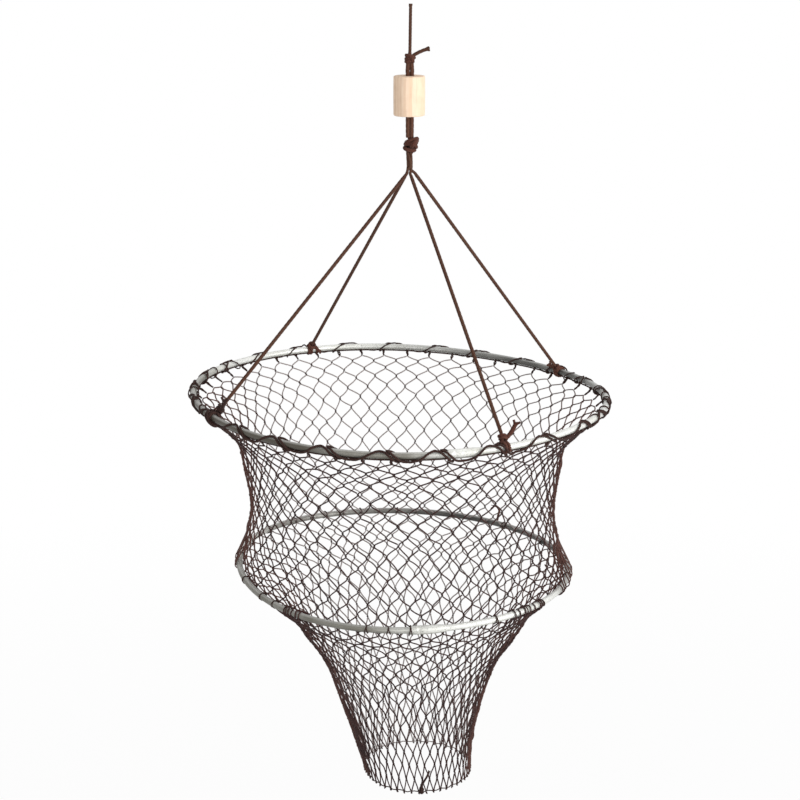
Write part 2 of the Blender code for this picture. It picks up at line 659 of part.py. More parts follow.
def main():
    clear_scene()
    cord = material("brown_cord", (0.085, 0.050, 0.038), 0.85)
    knot = material("knotted_cord", (0.145, 0.062, 0.045), 0.85)
    twine = material("net_twine", (0.070, 0.042, 0.038), 0.9)
    steel = material("galvanised_steel", (0.58, 0.59, 0.57), 0.42, 0.9)
    wood = material("float_wood", (0.86, 0.68, 0.50), 0.7)

    upper_centre = Vector((UPPER_HOOP_X, 0.0, UPPER_HOOP_Z))
    lower_centre = Vector((LOWER_HOOP_X, 0.0, LOWER_HOOP_Z))
    end_centre = Vector((BAG_END_X, 0.0, BAG_END_Z))
    upper = stage_empty("upper_hoop_centre", upper_centre, UPPER_TILT)
    lower = stage_empty("lower_hoop_centre", lower_centre, LOWER_TILT)
    bag_end = stage_empty("bag_end_centre", end_centre)
    upper_frame = Matrix.Translation(upper_centre) @ Matrix.Rotation(-math.radians(UPPER_TILT), 4, "Y")

    haul_line(cord)
    line_tail(cord)
    knot_body("line_knot", Vector((STROP_X, 0.0, (LINE_KNOT_TOP + LINE_KNOT_BOTTOM) / 2)), LINE_KNOT_WIDTH,
              LINE_KNOT_WIDTH, LINE_KNOT_HEIGHT, 2, knot)
    strop(cord)
    wooden_float(wood)
    knot_body("bridle_knot", Vector((STROP_X, 0.0, (BRIDLE_KNOT_TOP + BRIDLE_KNOT_BOTTOM) / 2)),
              BRIDLE_KNOT_WIDTH, BRIDLE_KNOT_DEPTH, BRIDLE_KNOT_HEIGHT, 3, knot)
    bridle(cord, knot, upper_frame)
    hitch_turns(cord, upper)
    hitch_tails(cord, upper_frame)

    hoop("upper_hoop", UPPER_HOOP_RADIUS, UPPER_SLEEVE_AZIMUTH, UPPER_SLEEVE_LENGTH, steel, upper)
    sleeve("upper_hoop_sleeve", UPPER_HOOP_RADIUS, UPPER_SLEEVE_AZIMUTH, UPPER_SLEEVE_LENGTH, steel, upper)
    rim_lacing(twine, upper)
    hoop("lower_hoop", LOWER_HOOP_RADIUS, LOWER_SLEEVE_AZIMUTH, LOWER_SLEEVE_LENGTH, steel, lower)
    sleeve("lower_hoop_sleeve", LOWER_HOOP_RADIUS, LOWER_SLEEVE_AZIMUTH, LOWER_SLEEVE_LENGTH, steel, lower)
    lower_binding(twine, lower)
    binding_tail(twine, lower)

    up = Vector((0.0, 0.0, 1.0))
    wall_top = upper_centre - up * seat_along(WALL_TOP_SLANT)
    wall_foot = lower_centre + up * seat_along(WALL_FOOT_SLANT)
    wall = net_surface(wall_outline(), (), wall_top, wall_foot, UPPER_TILT, LOWER_TILT)
    top_phase = LACING_CREST_AZIMUTH + MESH_STEP * lacing_along((180.0 + WALL_TOP_SLANT) / 360.0)
    foot_phase = BINDING_AZIMUTH + MESH_STEP * binding_along(-WALL_FOOT_SLANT / 360.0)
    top_shift = seat_shift(WALL_TOP_SLANT, -1, UPPER_HOOP_RADIUS, UPPER_SLEEVE_AZIMUTH, UPPER_SLEEVE_LENGTH)
    lower_sleeve = (LOWER_HOOP_RADIUS, LOWER_SLEEVE_AZIMUTH, LOWER_SLEEVE_LENGTH)
    foot_shift = seat_shift(WALL_FOOT_SLANT, 1, *lower_sleeve)
    diamond_net("net_wall", wall, WALL_ROWS, top_phase, foot_phase - MESH_STEP / 2 * (WALL_ROWS % 2),
                top_shift, foot_shift, twine)
    bag_top = lower_centre - up * seat_along(BAG_TOP_SLANT)
    bag = net_surface(bag_outline(), BAG_LEAN, bag_top, end_centre, LOWER_TILT, 0.0)
    bag_phase = BINDING_AZIMUTH + MESH_STEP * binding_along((180.0 + BAG_TOP_SLANT) / 360.0)
    end_phase = DRAW_KNOT_AZIMUTH + MESH_STEP / 2 * (1 - BAG_ROWS % 2)
    bag_shift = seat_shift(BAG_TOP_SLANT, -1, *lower_sleeve)
    diamond_net("net_bag", bag, BAG_ROWS, bag_phase, end_phase, bag_shift, no_shift, twine)
    draw_cord(twine, bag_end)
    draw_knot_and_tail(knot, bag_end)


main()
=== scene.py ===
"""Looks of the crayfish drop net: cords, knots, float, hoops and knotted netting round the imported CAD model.

The frame is the CAD's: the origin is the top end of the haul line, +Z is up, -Y is the front and +X the
right. Sizes are in metres, angles in degrees unless a name says radians.
"""
import math
import random

import bmesh
import bpy
from bpy.props import FloatProperty, FloatVectorProperty, IntProperty, PointerProperty
from mathutils import Matrix, Vector


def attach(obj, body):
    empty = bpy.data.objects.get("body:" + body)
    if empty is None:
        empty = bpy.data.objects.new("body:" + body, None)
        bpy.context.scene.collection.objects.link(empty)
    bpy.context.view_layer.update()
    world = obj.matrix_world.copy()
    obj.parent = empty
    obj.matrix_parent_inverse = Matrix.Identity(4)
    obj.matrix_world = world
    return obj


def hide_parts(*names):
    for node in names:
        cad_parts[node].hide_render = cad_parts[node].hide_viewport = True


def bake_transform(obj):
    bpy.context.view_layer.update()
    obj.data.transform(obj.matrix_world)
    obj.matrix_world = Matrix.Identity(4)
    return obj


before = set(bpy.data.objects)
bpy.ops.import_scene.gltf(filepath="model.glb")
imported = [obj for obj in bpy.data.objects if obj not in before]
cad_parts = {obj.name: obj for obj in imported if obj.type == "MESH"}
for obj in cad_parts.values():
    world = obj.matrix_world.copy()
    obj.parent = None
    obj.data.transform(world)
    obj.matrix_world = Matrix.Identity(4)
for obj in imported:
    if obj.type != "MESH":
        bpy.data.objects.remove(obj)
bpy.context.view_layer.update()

bl_info = {
    "name": "Crayfish Drop Net",
    "version": (1, 0, 0),
    "blender": (4, 5, 0),
    "location": "3D View > Sidebar > Drop Net",
    "description": "Builds a hanging drop net of cord, wood, steel hoops and knotted netting",
    "category": "Object",
}

TAU = math.tau
UP = Vector((0.0, 0.0, 1.0))

# Heights and offsets of the line, the float and the bridle
STROP_X = -0.0006
LINE_END = -0.0444
LINE_KNOT_Z = -0.04875
LINE_KNOT_FOOT = -0.0528
FLOAT_X = -0.0011
FLOAT_TOP = -0.0643
FLOAT_FOOT = -0.1005
FLOAT_RADIUS = 0.0145
FLOAT_BORE_RADIUS = 0.00415
BRIDLE_KNOT_TOP = -0.1185
BRIDLE_KNOT_Z = -0.1264
BRIDLE_KNOT_FOOT = -0.1343
THROAT_X = -0.0010
APEX_Z = -0.1535

# Lays of cord as shares of the bridle cord's: a tighter one in thin cord, a slacker one in the strop and legs
TIGHT_LAY = 0.8
STROP_LAY = 1.3
LEG_LAY = 1.2
LACING_LAY = 0.85

# The hoops' tube and, for each hoop, its joint: azimuths of the swelled end's mouth, its root and its crimp
HOOP_TUBE_RADIUS = 0.003
SOCKET_RADIUS = 0.004
JOINTS = {"upper_hoop": (-78.1, -68.6, -76.3), "lower_hoop": (-88.0, -75.9, -85.2)}

# What cords that are wound on the hoops' tube keep away from it
CLEARANCE = 0.0001

# For each leg: its azimuth on the upper hoop, how far up along it the hitch's knot stands from the tube's
# middle, and how far its start is moved to the right
LEG_AZIMUTHS = {"front_left": -149.0, "front_right": -62.3, "back_right": 34.3, "back_left": 119.0}
HITCH_REACH = {"front_left": 0.0100, "front_right": 0.0092, "back_right": 0.0060, "back_left": 0.0070}
APEX_SHIFT = {"front_right": -0.0013, "back_right": 0.0028}
# Angle round the tube at which a hitch's turns begin
HITCH_PHI = 131.0

# The rim lacing and the head rope that it holds, and the azimuth of the crest next to the front
LACING_TURNS = 25
LACING_CREST = -95.1
HEAD_ROPE_DIAMETER = 0.0015
HEAD_ROPE_LAY = 0.007
HEAD_ROPE_PHI = -98.0

# The netting: its top meshes' stems, half a knot's height, azimuths of one knot in the first and last rows,
# and the dent at the left of the bag's end
STEM_LENGTH = 0.0056
KNOT_HALF_HEIGHT = 0.0016
UPPER_MESH_PHASE = 87.9
LOWER_MESH_PHASE = 92.3
DENT_AZIMUTH = -158.0
DENT_DEPTH = 0.0035
DENT_HALF_WIDTH = 32.0

# The lower hoop's binding and its loose end, and the draw cord with its knot
WRAP_DIAMETER = 0.0010
BINDING_TAIL_DIAMETER = 0.0015
BINDING_TAIL_LAY = 0.006
BINDING_TAIL_AZIMUTH = 52.0
DRAW_CORD_DIAMETER = 0.0016
DRAW_CORD_LAY = 0.0065
DRAW_KNOT_AZIMUTH = -85.0

# The camera that the photograph's view was fitted with, and the stage round the object
CAMERA_PLACE = (-0.0096, -1.6283, 0.0813)
CAMERA_PITCH = 15.557
CAMERA_LENS = 79.15
SENSOR_WIDTH = 36.0
LIGHTS_AIM = (0.0, 0.0, -0.42)
# name, place, size and power
LIGHTS = (("key", (2.1, -1.25, 0.15), 0.9, 40.0),
          ("fill", (-0.2, -2.3, 0.2), 1.6, 15.0),
          ("top", (0.6, 0.2, 1.6), 1.2, 4.0))
WORLD_STRENGTH = 0.46
FLOOR_Z = -1.30
FLOOR_RADIUS = 2.6
WHITE = (1.0, 1.0, 1.0, 1.0)


class Hoop:
    """A hoop's place: its centre, its radius, its tilt about the Y axis, and how it is bent out of its plane.

    Each bend is a wave: its count round the hoop, and its height at the right and a quarter wave further."""

    def __init__(self, centre, radius, tilt, rise=0.0, bends=()):
        self.centre = Vector(centre)
        self.radius = radius
        self.tilt = tilt
        self.rise, self.bends = rise, bends
        self.frame = Matrix.Translation(self.centre) @ Matrix.Rotation(-math.radians(tilt), 4, "Y")

    def round_tube(self, azimuth, phi=0.0, reach=0.0):
        """A point at a reach from the tube's centre line: phi 0 is outward, 90 is up, 180 is inward."""
        turn, climb = math.radians(azimuth), math.radians(phi)
        across = self.radius + reach * math.cos(climb)
        return self.frame @ Vector((across * math.cos(turn), across * math.sin(turn),
                                    reach * math.sin(climb) + self.lift(azimuth)))

    def lift(self, azimuth):
        """How far the bent tube lies above the hoop's plane."""
        turn = math.radians(azimuth)
        return self.rise + sum(right * math.cos(count * turn) + further * math.sin(count * turn)
                               for count, right, further in self.bends)

    def sideways(self, azimuth):
        """The direction along the hoop, towards a larger azimuth."""
        turn = math.radians(azimuth)
        return self.frame.to_3x3() @ Vector((-math.sin(turn), math.cos(turn), 0.0))

    def degrees(self, length):
        """The turn along the hoop that a length makes."""
        return math.degrees(length / self.radius)


UPPER = Hoop((-0.0094, 0.0, -0.3660), 0.197, -1.37, 0.0003,
             ((1, 0.0, -0.0018), (2, 0.0016, -0.0016), (3, 0.0, -0.0013)))
LOWER = Hoop((-0.0060, 0.0, -0.5425), 0.161, -1.68, 0.0030,
             ((1, 0.0, 0.0010), (2, 0.0019, -0.0016), (3, -0.0009, 0.0)))
BAG_END = Hoop((0.0069, 0.0, -0.7602), 0.055, 0.0)


def outward(azimuth):
    """The level direction at an azimuth, away from the middle."""
    return Vector((math.cos(math.radians(azimuth)), math.sin(math.radians(azimuth)), 0.0))


def turn_between(azimuth, other):
    """The shorter way round from another azimuth to this one, signed."""
    return (azimuth - other + 180.0) % 360.0 - 180.0


# ---------------------------------------------------------------- sizes and colours that a user may change

def length_property(label, about, default):
    return FloatProperty(name=label, description=about, default=default, min=0.0, unit="LENGTH",
                         subtype="DISTANCE", precision=4)


def colour_property(label, about, default):
    return FloatVectorProperty(name=label, description=about, default=default, size=3, min=0.0, max=1.0,
                               subtype="COLOR")


class DropNetSizes(bpy.types.PropertyGroup):
    """Sizes of the cords and the netting."""

    line_diameter: length_property("Haul Line", "Diameter of the haul line", 0.0031)
    cord_diameter: length_property("Bridle Cord", "Diameter of the strop and the four legs", 0.0035)
    cord_lay: length_property("Cord Lay", "Length in which the cord's strands turn once", 0.0115)
    lacing_diameter: length_property("Rim Lacing", "Diameter of the lacing round the upper hoop", 0.0022)
    net_twine: length_property("Net Twine", "Diameter of the netting's twine", 0.0013)
    mesh_bar: length_property("Mesh Bar", "Twine between two knots of the netting", 0.0156)
    meshes_round: IntProperty(name="Meshes Round", description="Meshes in one round of the netting",
                              default=50, min=12, max=120)


class DropNetColours(bpy.types.PropertyGroup):
    """Colours of the finishes."""

    cord: colour_property("Cord", "Tarred brown bridle cord", (0.082, 0.032, 0.019))
    knots: colour_property("Knots", "Reddish brown of the pulled knots", (0.085, 0.027, 0.017))
    lacing: colour_property("Lacing", "Dark brown of the rim lacing", (0.033, 0.014, 0.0105))
    twine: colour_property("Twine", "Dark brown of the netting", (0.034, 0.0145, 0.0135))
    steel: colour_property("Steel", "Grey of the galvanised hoops", (0.74, 0.745, 0.715))
    wood: colour_property("Wood", "Pale wood of the float", (0.97, 0.745, 0.56))
    floor: colour_property("Floor", "Pale floor", (0.90, 0.90, 0.90))


def sizes():
    return bpy.context.scene.drop_net_sizes


def colours():
    return bpy.context.scene.drop_net_colours


# ---------------------------------------------------------------- routes

def smooth_route(points, steps):
    """Points on a smooth curve through the given points, with the given steps between each two."""
    ends = [points[0] * 2 - points[1]] + list(points) + [points[-1] * 2 - points[-2]]
    route = []
    for before, start, end, after in zip(ends, ends[1:], ends[2:], ends[3:]):
        for step in range(steps):
            t = step / steps
            route.append(0.5 * (2 * start + (end - before) * t
                                + (2 * before - 5 * start + 4 * end - after) * t ** 2
                                + (3 * start - before - 3 * end + after) * t ** 3))
    route.append(points[-1].copy())
    return route


def smooth_ring(points, steps):
    """Points on a smooth closed curve through the given points."""
    return smooth_route(points + [points[0]], steps)[:-1]


def route_length(points, closed=False):
    """The length of a route, with the way back to its start where it is closed."""
    whole = sum((b - a).length for a, b in zip(points, points[1:]))
    return whole + (points[0] - points[-1]).length if closed else whole


def spaced(points, spacing, closed=False):
    """The same route with evenly spaced points."""
    points = list(points) + ([points[0]] if closed else [])
    whole = route_length(points)
    count = max(2, round(whole / spacing))
    route, passed, k = [points[0].copy()], 0.0, 0
    for step in range(1, count):
        target = whole * step / count
        while passed + (points[k + 1] - points[k]).length < target:
            passed += (points[k + 1] - points[k]).length
            k += 1
        span = (points[k + 1] - points[k]).length
        route.append(points[k].lerp(points[k + 1], (target - passed) / span))
    return route if closed else route + [points[-1].copy()]


def evenly(middle, spread, count):
    """Azimuths at even steps, as far to both sides of a middle one as the spread."""
    return [middle + spread * (2.0 * k / (count - 1) - 1.0) for k in range(count)]


def smooth_step(share):
    """From 0 to 1 with a soft start and end."""
    share = min(1.0, max(0.0, share))
    return share * share * (3.0 - 2.0 * share)


def reading(pairs, share):
    """The value at a share between pairs of (share, value)."""
    k = next((i for i in range(1, len(pairs)) if share <= pairs[i][0]), len(pairs) - 1)
    (s0, v0), (s1, v1) = pairs[k - 1], pairs[k]
    return v0 + (v1 - v0) * (share - s0) / (s1 - s0)


# ---------------------------------------------------------------- pieces

def link_piece(name, data):
    """An object at the origin with this data, in place of an earlier one of the same name."""
    old = bpy.data.objects.get(name)
    if old is not None:
        bpy.data.objects.remove(old, do_unlink=True)
    made = bpy.data.objects.new(name, data)
    bpy.context.scene.collection.objects.link(made)
    return made


def piece_from(name, builder, finish, sharp=None, merge=1e-6):
    """A piece from a filled bmesh: doubles merged, faces outward, shaded smooth."""
    bmesh.ops.remove_doubles(builder, verts=builder.verts[:], dist=merge)
    bmesh.ops.recalc_face_normals(builder, faces=builder.faces[:])
    data = bpy.data.meshes.new(name)
    builder.to_mesh(data)
    builder.free()
    data.shade_smooth()
    if sharp is not None:
        data.set_sharp_from_angle(angle=math.radians(sharp))
    data.materials.append(finish)
    return link_piece(name, data)


def settle(piece, body, slot, *stands_for):
    """Give a finished piece its body and hide the CAD nodes that it stands for; the slot is not used."""
    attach(piece, body)
    label(piece, slot, *stands_for)


def label(piece, slot, *stands_for):
    if stands_for:
        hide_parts(*stands_for)


def cord_piece(name, builder, finish, body, slot, *stands_for):
    """A piece of cords from a filled bmesh, with the finish of that name, settled."""
    settle(piece_from(name, builder, finish_of(finish), sharp=60), body, slot, *stands_for)


def laid_section():
    """The outline of a cord of three strands, one unit in radius, that cords are swept with."""
    strands, steps, groove, sharpness = 3, 6, 0.09, 2.2
    curve = bpy.data.curves.new("laid_section", "CURVE")
    curve.dimensions = "2D"
    spline = curve.splines.new("POLY")
    spline.points.add(strands * steps - 1)
    for k, point in enumerate(spline.points):
        off_crest = abs((k % steps) / steps - 0.5) * 2.0
        reach = 1.0 - groove * off_crest ** sharpness
        turn = TAU * k / (strands * steps)
        point.co = (reach * math.cos(turn), reach * math.sin(turn), 0.0, 1.0)
    spline.use_cyclic_u = True
    section = bpy.data.objects.new("laid_section", curve)
    bpy.context.scene.collection.objects.link(section)
    return section


def swept_mesh(curve, length):
    """The mesh of a curve, with its UV running in metres along the cord. The curve is removed."""
    holder = bpy.data.objects.new("sweep", curve)
    bpy.context.scene.collection.objects.link(holder)
    graph = bpy.context.evaluated_depsgraph_get()
    data = bpy.data.meshes.new_from_object(holder.evaluated_get(graph))
    flat = [0.0] * (2 * len(data.loops))
    data.uv_layers[0].data.foreach_get("uv", flat)
    flat[0::2] = [u * length for u in flat[0::2]]
    data.uv_layers[0].data.foreach_set("uv", flat)
    bpy.data.objects.remove(holder, do_unlink=True)
    bpy.data.curves.remove(curve)
    return data


def new_sweep(closed=False):
    curve = bpy.data.curves.new("sweep", "CURVE")
    curve.dimensions = "3D"
    curve.twist_mode = "MINIMUM"
    curve.use_fill_caps = not closed
    return curve


def add_spline(curve, points, closed=False, tilts=None, radii=None):
    spline = curve.splines.new("POLY")
    spline.points.add(len(points) - 1)
    flat = []
    for place in points:
        flat.extend((*place, 1.0))
    spline.points.foreach_set("co", flat)
    if tilts is not None:
        spline.points.foreach_set("tilt", tilts)
    if radii is not None:
        spline.points.foreach_set("radius", radii)
    spline.use_cyclic_u = closed
    spline.use_smooth = True


def move_into(builder, data):
    """Add a mesh to a bmesh, and remove it."""
    builder.from_mesh(data)
    bpy.data.meshes.remove(data)


def lay_cords(builder, routes, diameter, lay, closed=False, swell=None):
    """Add laid cords along the routes to a bmesh. Swell gives the thickness at a share of the length.

    A closed cord turns a whole number of strands, so that they meet at its start."""
    strands, points_per_lay = 3, 10.0
    section = laid_section()
    for route in routes:
        points = spaced(route, lay / points_per_lay, closed)
        length = route_length(points, closed)
        turns = length / lay
        if closed:
            turns = max(1, round(turns * strands)) / strands
        count = len(points) if closed else len(points) - 1
        tilts = [TAU * turns * k / count for k in range(len(points))]
        radii = [diameter / 2 * (swell(k / count) if swell else 1.0) for k in range(len(points))]
        curve = new_sweep(closed)
        curve.bevel_mode = "OBJECT"
        curve.bevel_object = section
        add_spline(curve, points, closed, tilts, radii)
        move_into(builder, swept_mesh(curve, length))
    data = section.data
    bpy.data.objects.remove(section, do_unlink=True)
    bpy.data.curves.remove(data)


def twine_mesh(routes, diameter, length, sides=6, closed=False):
    """The mesh of many like lengths of plain twine."""
    curve = new_sweep(closed)
    curve.bevel_depth = diameter / 2
    curve.bevel_resolution = (sides - 4) // 2
    for route in routes:
        add_spline(curve, route, closed)
    return swept_mesh(curve, length)


def add_twines(builder, routes, diameter, sides=6, closed=False):
    """Add twines to a bmesh; their UV runs in metres along their mean length."""
    length = sum(route_length(route, closed) for route in routes) / len(routes)
    move_into(builder, twine_mesh(routes, diameter, length, sides, closed))


def frayed_end(builder, route, diameter, rng, spread=0.55, length=0.0032):
    """Three yarns that part at a cord's cut end, which is the end of its route."""
    yarns, yarn_share = 3, 0.52
    direction = (route[-1] - route[-2]).normalized()
    side = direction.orthogonal().normalized()
    first = rng.uniform(0.0, TAU)
    for k in range(yarns):
        out = Matrix.Rotation(first + TAU * k / yarns, 3, direction) @ side
        reach = length * rng.uniform(0.75, 1.2)
        start = route[-1] - direction * diameter * 0.5 + out * diameter * 0.2
        way = [start, start + direction * reach * 0.5 + out * reach * spread * 0.35,
               start + (direction + out * spread) * reach]
        add_twines(builder, [smooth_route(way, 3)], diameter * yarn_share)


def knot_turns(centre, turns, points=16):
    """The closed turns of a knot, each an ellipse.

    Each turn is given by its middle from the knot's centre, its axis, and its half width and half height."""
    routes = []
    for offset, axis, wide, tall in turns:
        middle, normal = centre + Vector(offset), Vector(axis).normalized()
        across = normal.cross(Vector((0.0, 1.0, 0.0))).normalized()
        along = normal.cross(across).normalized()
        angles = [TAU * k / points for k in range(points)]
        routes.append([middle + across * wide * math.cos(angle) + along * tall * math.sin(angle)
                       for angle in angles])
    return routes


# ---------------------------------------------------------------- shader helpers

def new_finish(name):
    """An empty material, its node tree and its Principled shader."""
    old = bpy.data.materials.get(name)
    if old is not None:
        bpy.data.materials.remove(old)
    finish = bpy.data.materials.new(name)
    finish.use_nodes = True
    return finish, finish.node_tree, finish.node_tree.nodes["Principled BSDF"]


def add_node(tree, kind, values=None, **settings):
    made = tree.nodes.new(kind)
    for key, value in settings.items():
        setattr(made, key, value)
    for key, value in (values or {}).items():
        made.inputs[key].default_value = value
    return made


def maths(tree, operation, *terms):
    """A Math node; each term is a number or a socket. Its output socket is returned."""
    made = add_node(tree, "ShaderNodeMath", operation=operation)
    for socket, term in zip(made.inputs, terms):
        if isinstance(term, (int, float)):
            socket.default_value = term
        else:
            tree.links.new(term, socket)
    return made.outputs[0]


def mixed(tree, amount, first, second, blend="MIX"):
    """A colour mix; each colour is a socket or three numbers."""
    made = add_node(tree, "ShaderNodeMix", data_type="RGBA", blend_type=blend)
    for socket, term in zip((made.inputs[0], made.inputs[6], made.inputs[7]), (amount, first, second)):
        if isinstance(term, (int, float)):
            socket.default_value = term
        elif isinstance(term, (tuple, list)):
            socket.default_value = (*term[:3], 1.0)
        else:
            tree.links.new(term, socket)
    return made.outputs[2]


def ramp(tree, value, low, high, to_low=0.0, to_high=1.0):
    """A clamped straight map of a value from one range to another."""
    made = add_node(tree, "ShaderNodeMapRange", {1: low, 2: high, 3: to_low, 4: to_high})
    tree.links.new(value, made.inputs[0])
    return made.outputs[0]


def noise(tree, vector, scale, detail=3.0, rough=0.55):
    made = add_node(tree, "ShaderNodeTexNoise", {"Scale": scale, "Detail": detail, "Roughness": rough})
    tree.links.new(vector, made.inputs["Vector"])
    return made.outputs[0]


def scaled(tree, vector, scale, location=(0.0, 0.0, 0.0)):
    made = add_node(tree, "ShaderNodeMapping", {"Scale": scale, "Location": location})
    tree.links.new(vector, made.inputs["Vector"])
    return made.outputs[0]


def new_group(name, inputs, outputs):
    """A shader node group with float inputs (name, default) and float outputs, and its two end nodes.

    Where the group is there already, it comes without its end nodes."""
    old = bpy.data.node_groups.get(name)
    if old is not None:
        return old, None, None
    group = bpy.data.node_groups.new(name, "ShaderNodeTree")
    for given, default in inputs:
        socket = group.interface.new_socket(given, in_out="INPUT", socket_type="NodeSocketFloat")
        socket.default_value = default
    for result in outputs:
        group.interface.new_socket(result, in_out="OUTPUT", socket_type="NodeSocketFloat")
    return group, group.nodes.new("NodeGroupInput"), group.nodes.new("NodeGroupOutput")


def laid_yarn_group():
    """Strands and yarns of a twisted cord, from its own UV: metres along it and one turn round it."""
    group, given, result = new_group(
        "Laid Yarn",
        [("Strands", 3.0), ("Strand Turns", 0.0), ("Yarns", 15.0), ("Yarn Turns", 87.0)],
        ["Groove", "Yarn", "Fibre"])
    if given is None:
        return group
    uv = add_node(group, "ShaderNodeTexCoord").outputs["UV"]
    parts = add_node(group, "ShaderNodeSeparateXYZ")
    group.links.new(uv, parts.inputs[0])
    along, round_it = parts.outputs[0], parts.outputs[1]

    def wound(count, turns):
        """The place among so many strands or yarns, which wind round the cord along its length."""
        place = maths(group, "ADD", round_it, maths(group, "MULTIPLY", along, given.outputs[turns]))
        return maths(group, "MULTIPLY", given.outputs[count], place)

    strand = maths(group, "FRACT", wound("Strands", "Strand Turns"))
    groove = maths(group, "ABSOLUTE", maths(group, "MULTIPLY_ADD", strand, 2.0, -1.0))
    group.links.new(maths(group, "POWER", groove, 3.0), result.inputs["Groove"])
    wave = maths(group, "SINE", maths(group, "MULTIPLY", wound("Yarns", "Yarn Turns"), TAU))
    group.links.new(maths(group, "MULTIPLY_ADD", wave, 0.5, 0.5), result.inputs["Yarn"])
    stretched = scaled(group, uv, (420.0, 9.0, 1.0))
    group.links.new(noise(group, stretched, 1.0, 4.0, 0.65), result.inputs["Fibre"])
    return group


def weather_group():
    """Wear that clouds a surface: broad patches and fine specks, from Object coordinates."""
    group, given, result = new_group("Weather", [("Patch Scale", 30.0), ("Speck Scale", 900.0)],
                                     ["Patch", "Speck"])
    if given is None:
        return group
    place = add_node(group, "ShaderNodeTexCoord").outputs["Object"]
    for output, scale, detail in (("Patch", "Patch Scale", 2.5), ("Speck", "Speck Scale", 2.0)):
        made = add_node(group, "ShaderNodeTexNoise", {"Detail": detail, "Roughness": 0.6})
        group.links.new(place, made.inputs["Vector"])
        group.links.new(given.outputs[scale], made.inputs["Scale"])
        group.links.new(ramp(group, made.outputs[0], 0.32, 0.68), result.inputs[output])
    return group


def use_group(tree, group, **values):
    made = add_node(tree, "ShaderNodeGroup")
    made.node_tree = group
    for key, value in values.items():
        made.inputs[key.replace("_", " ")].default_value = value
    return made.outputs


def shaded(colour, factor):
    """A colour made lighter or darker by one factor, or by three."""
    factors = factor if isinstance(factor, tuple) else (factor,) * 3
    return tuple(min(1.0, channel * share) for channel, share in zip(colour, factors))


def cord_finish(name, colour, strand_turns=0.0, yarn_turns=87.0, yarns=15.0, fade=(0.135, 0.074, 0.044),
                fade_amount=0.35, far_fade=None, side_tint=None):
    """Twisted cord: painted shade in the grooves and in the hollows between yarns, stray fibres lightened
    where they stand up as a painted highlight, and patches where the dye has faded.

    Far fade is the colour of twine that the sun has bleached, on the net's back half, and side tint that of
    the twine which lies folded at its two sides, where the dye has stayed redder."""
    finish, tree, shader = new_finish(name)
    laid = use_group(tree, laid_yarn_group(), Strand_Turns=strand_turns, Yarn_Turns=yarn_turns, Yarns=yarns)
    weather = use_group(tree, weather_group(), Patch_Scale=38.0, Speck_Scale=1500.0)
    body = mixed(tree, maths(tree, "MULTIPLY", weather["Patch"], fade_amount), colour, fade)
    # Painted shade: darker in the hollows between yarns and in the grooves between strands
    body = mixed(tree, ramp(tree, laid["Yarn"], 0.0, 1.0, 0.22, 0.0), body, shaded(colour, 0.5))
    body = mixed(tree, ramp(tree, laid["Groove"], 0.4, 1.0, 0.0, 0.5), body, shaded(colour, 0.35))
    # Painted highlight: lighter where the fibres stand up
    body = mixed(tree, ramp(tree, laid["Fibre"], 0.58, 0.78, 0.0, 0.35), body, shaded(colour, 2.2))
    body = mixed(tree, ramp(tree, weather["Speck"], 0.7, 1.0, 0.0, 0.25), body, shaded(colour, 0.4))
    if far_fade is not None:
        parts = add_node(tree, "ShaderNodeSeparateXYZ")
        tree.links.new(add_node(tree, "ShaderNodeTexCoord").outputs["Object"], parts.inputs[0])
        right, back = parts.outputs[0], parts.outputs[1]
        away = maths(tree, "SQRT", maths(tree, "ADD", maths(tree, "MULTIPLY", right, right),
                                         maths(tree, "MULTIPLY", back, back)))
        bleached = maths(tree, "MULTIPLY",
                         ramp(tree, maths(tree, "DIVIDE", back, away), -0.2, 0.7, 0.0, 0.88),
                         ramp(tree, weather["Patch"], 0.0, 1.0, 0.8, 1.0))
        body = mixed(tree, bleached, body, far_fade)
        if side_tint is not None:
            sideways = maths(tree, "ABSOLUTE", maths(tree, "DIVIDE", right, away))
            body = mixed(tree, ramp(tree, sideways, 0.88, 0.985, 0.0, 0.6), body, side_tint)
    tree.links.new(body, shader.inputs["Base Color"])
    tree.links.new(ramp(tree, laid["Fibre"], 0.3, 0.7, 0.72, 0.95), shader.inputs["Roughness"])
    shader.inputs["Specular IOR Level"].default_value = 0.2
    shader.inputs["Sheen Weight"].default_value = 0.04
    shader.inputs["Sheen Roughness"].default_value = 0.6
    height = maths(tree, "MULTIPLY_ADD", laid["Groove"], -1.0, maths(tree, "MULTIPLY", laid["Fibre"], 0.5))
    height = maths(tree, "MULTIPLY_ADD", laid["Yarn"], 0.35, height)
    bump = add_node(tree, "ShaderNodeBump", {"Strength": 0.45, "Distance": 0.00015})
    tree.links.new(height, bump.inputs["Height"])
    tree.links.new(bump.outputs[0], shader.inputs["Normal"])
    return finish


# Painted shade where the hoops face away from the light, at front left, back right and the lower hoop's back:
# a direction, how far out along it the painted shade begins and is full, its least amount between the broad
# patches, and its colour
STEEL_PAINTED_SHADE = (((-0.75, -0.66, 0.0), 0.095, 0.135, 0.80, (0.140, 0.132, 0.108)),
              ((-0.77, -0.64, 0.0), 0.172, 0.188, 0.85, (0.075, 0.066, 0.050)),
              ((-0.1, 0.5, -1.0), 0.565, 0.60, 0.55, (0.120, 0.110, 0.095)),
              ((0.74, 0.67, -0.30), 0.19, 0.30, 0.80, (0.075, 0.073, 0.068)))
SPECK_COLOUR = (0.12, 0.11, 0.085)
# Painted shade: the colour that the tube's underside is multiplied by
UNDERSIDE_PAINTED_SHADE = (0.45, 0.45, 0.42)
# Painted highlight: the lighter colour along the tube's top
TOP_PAINTED_HIGHLIGHT = (0.80, 0.80, 0.77)


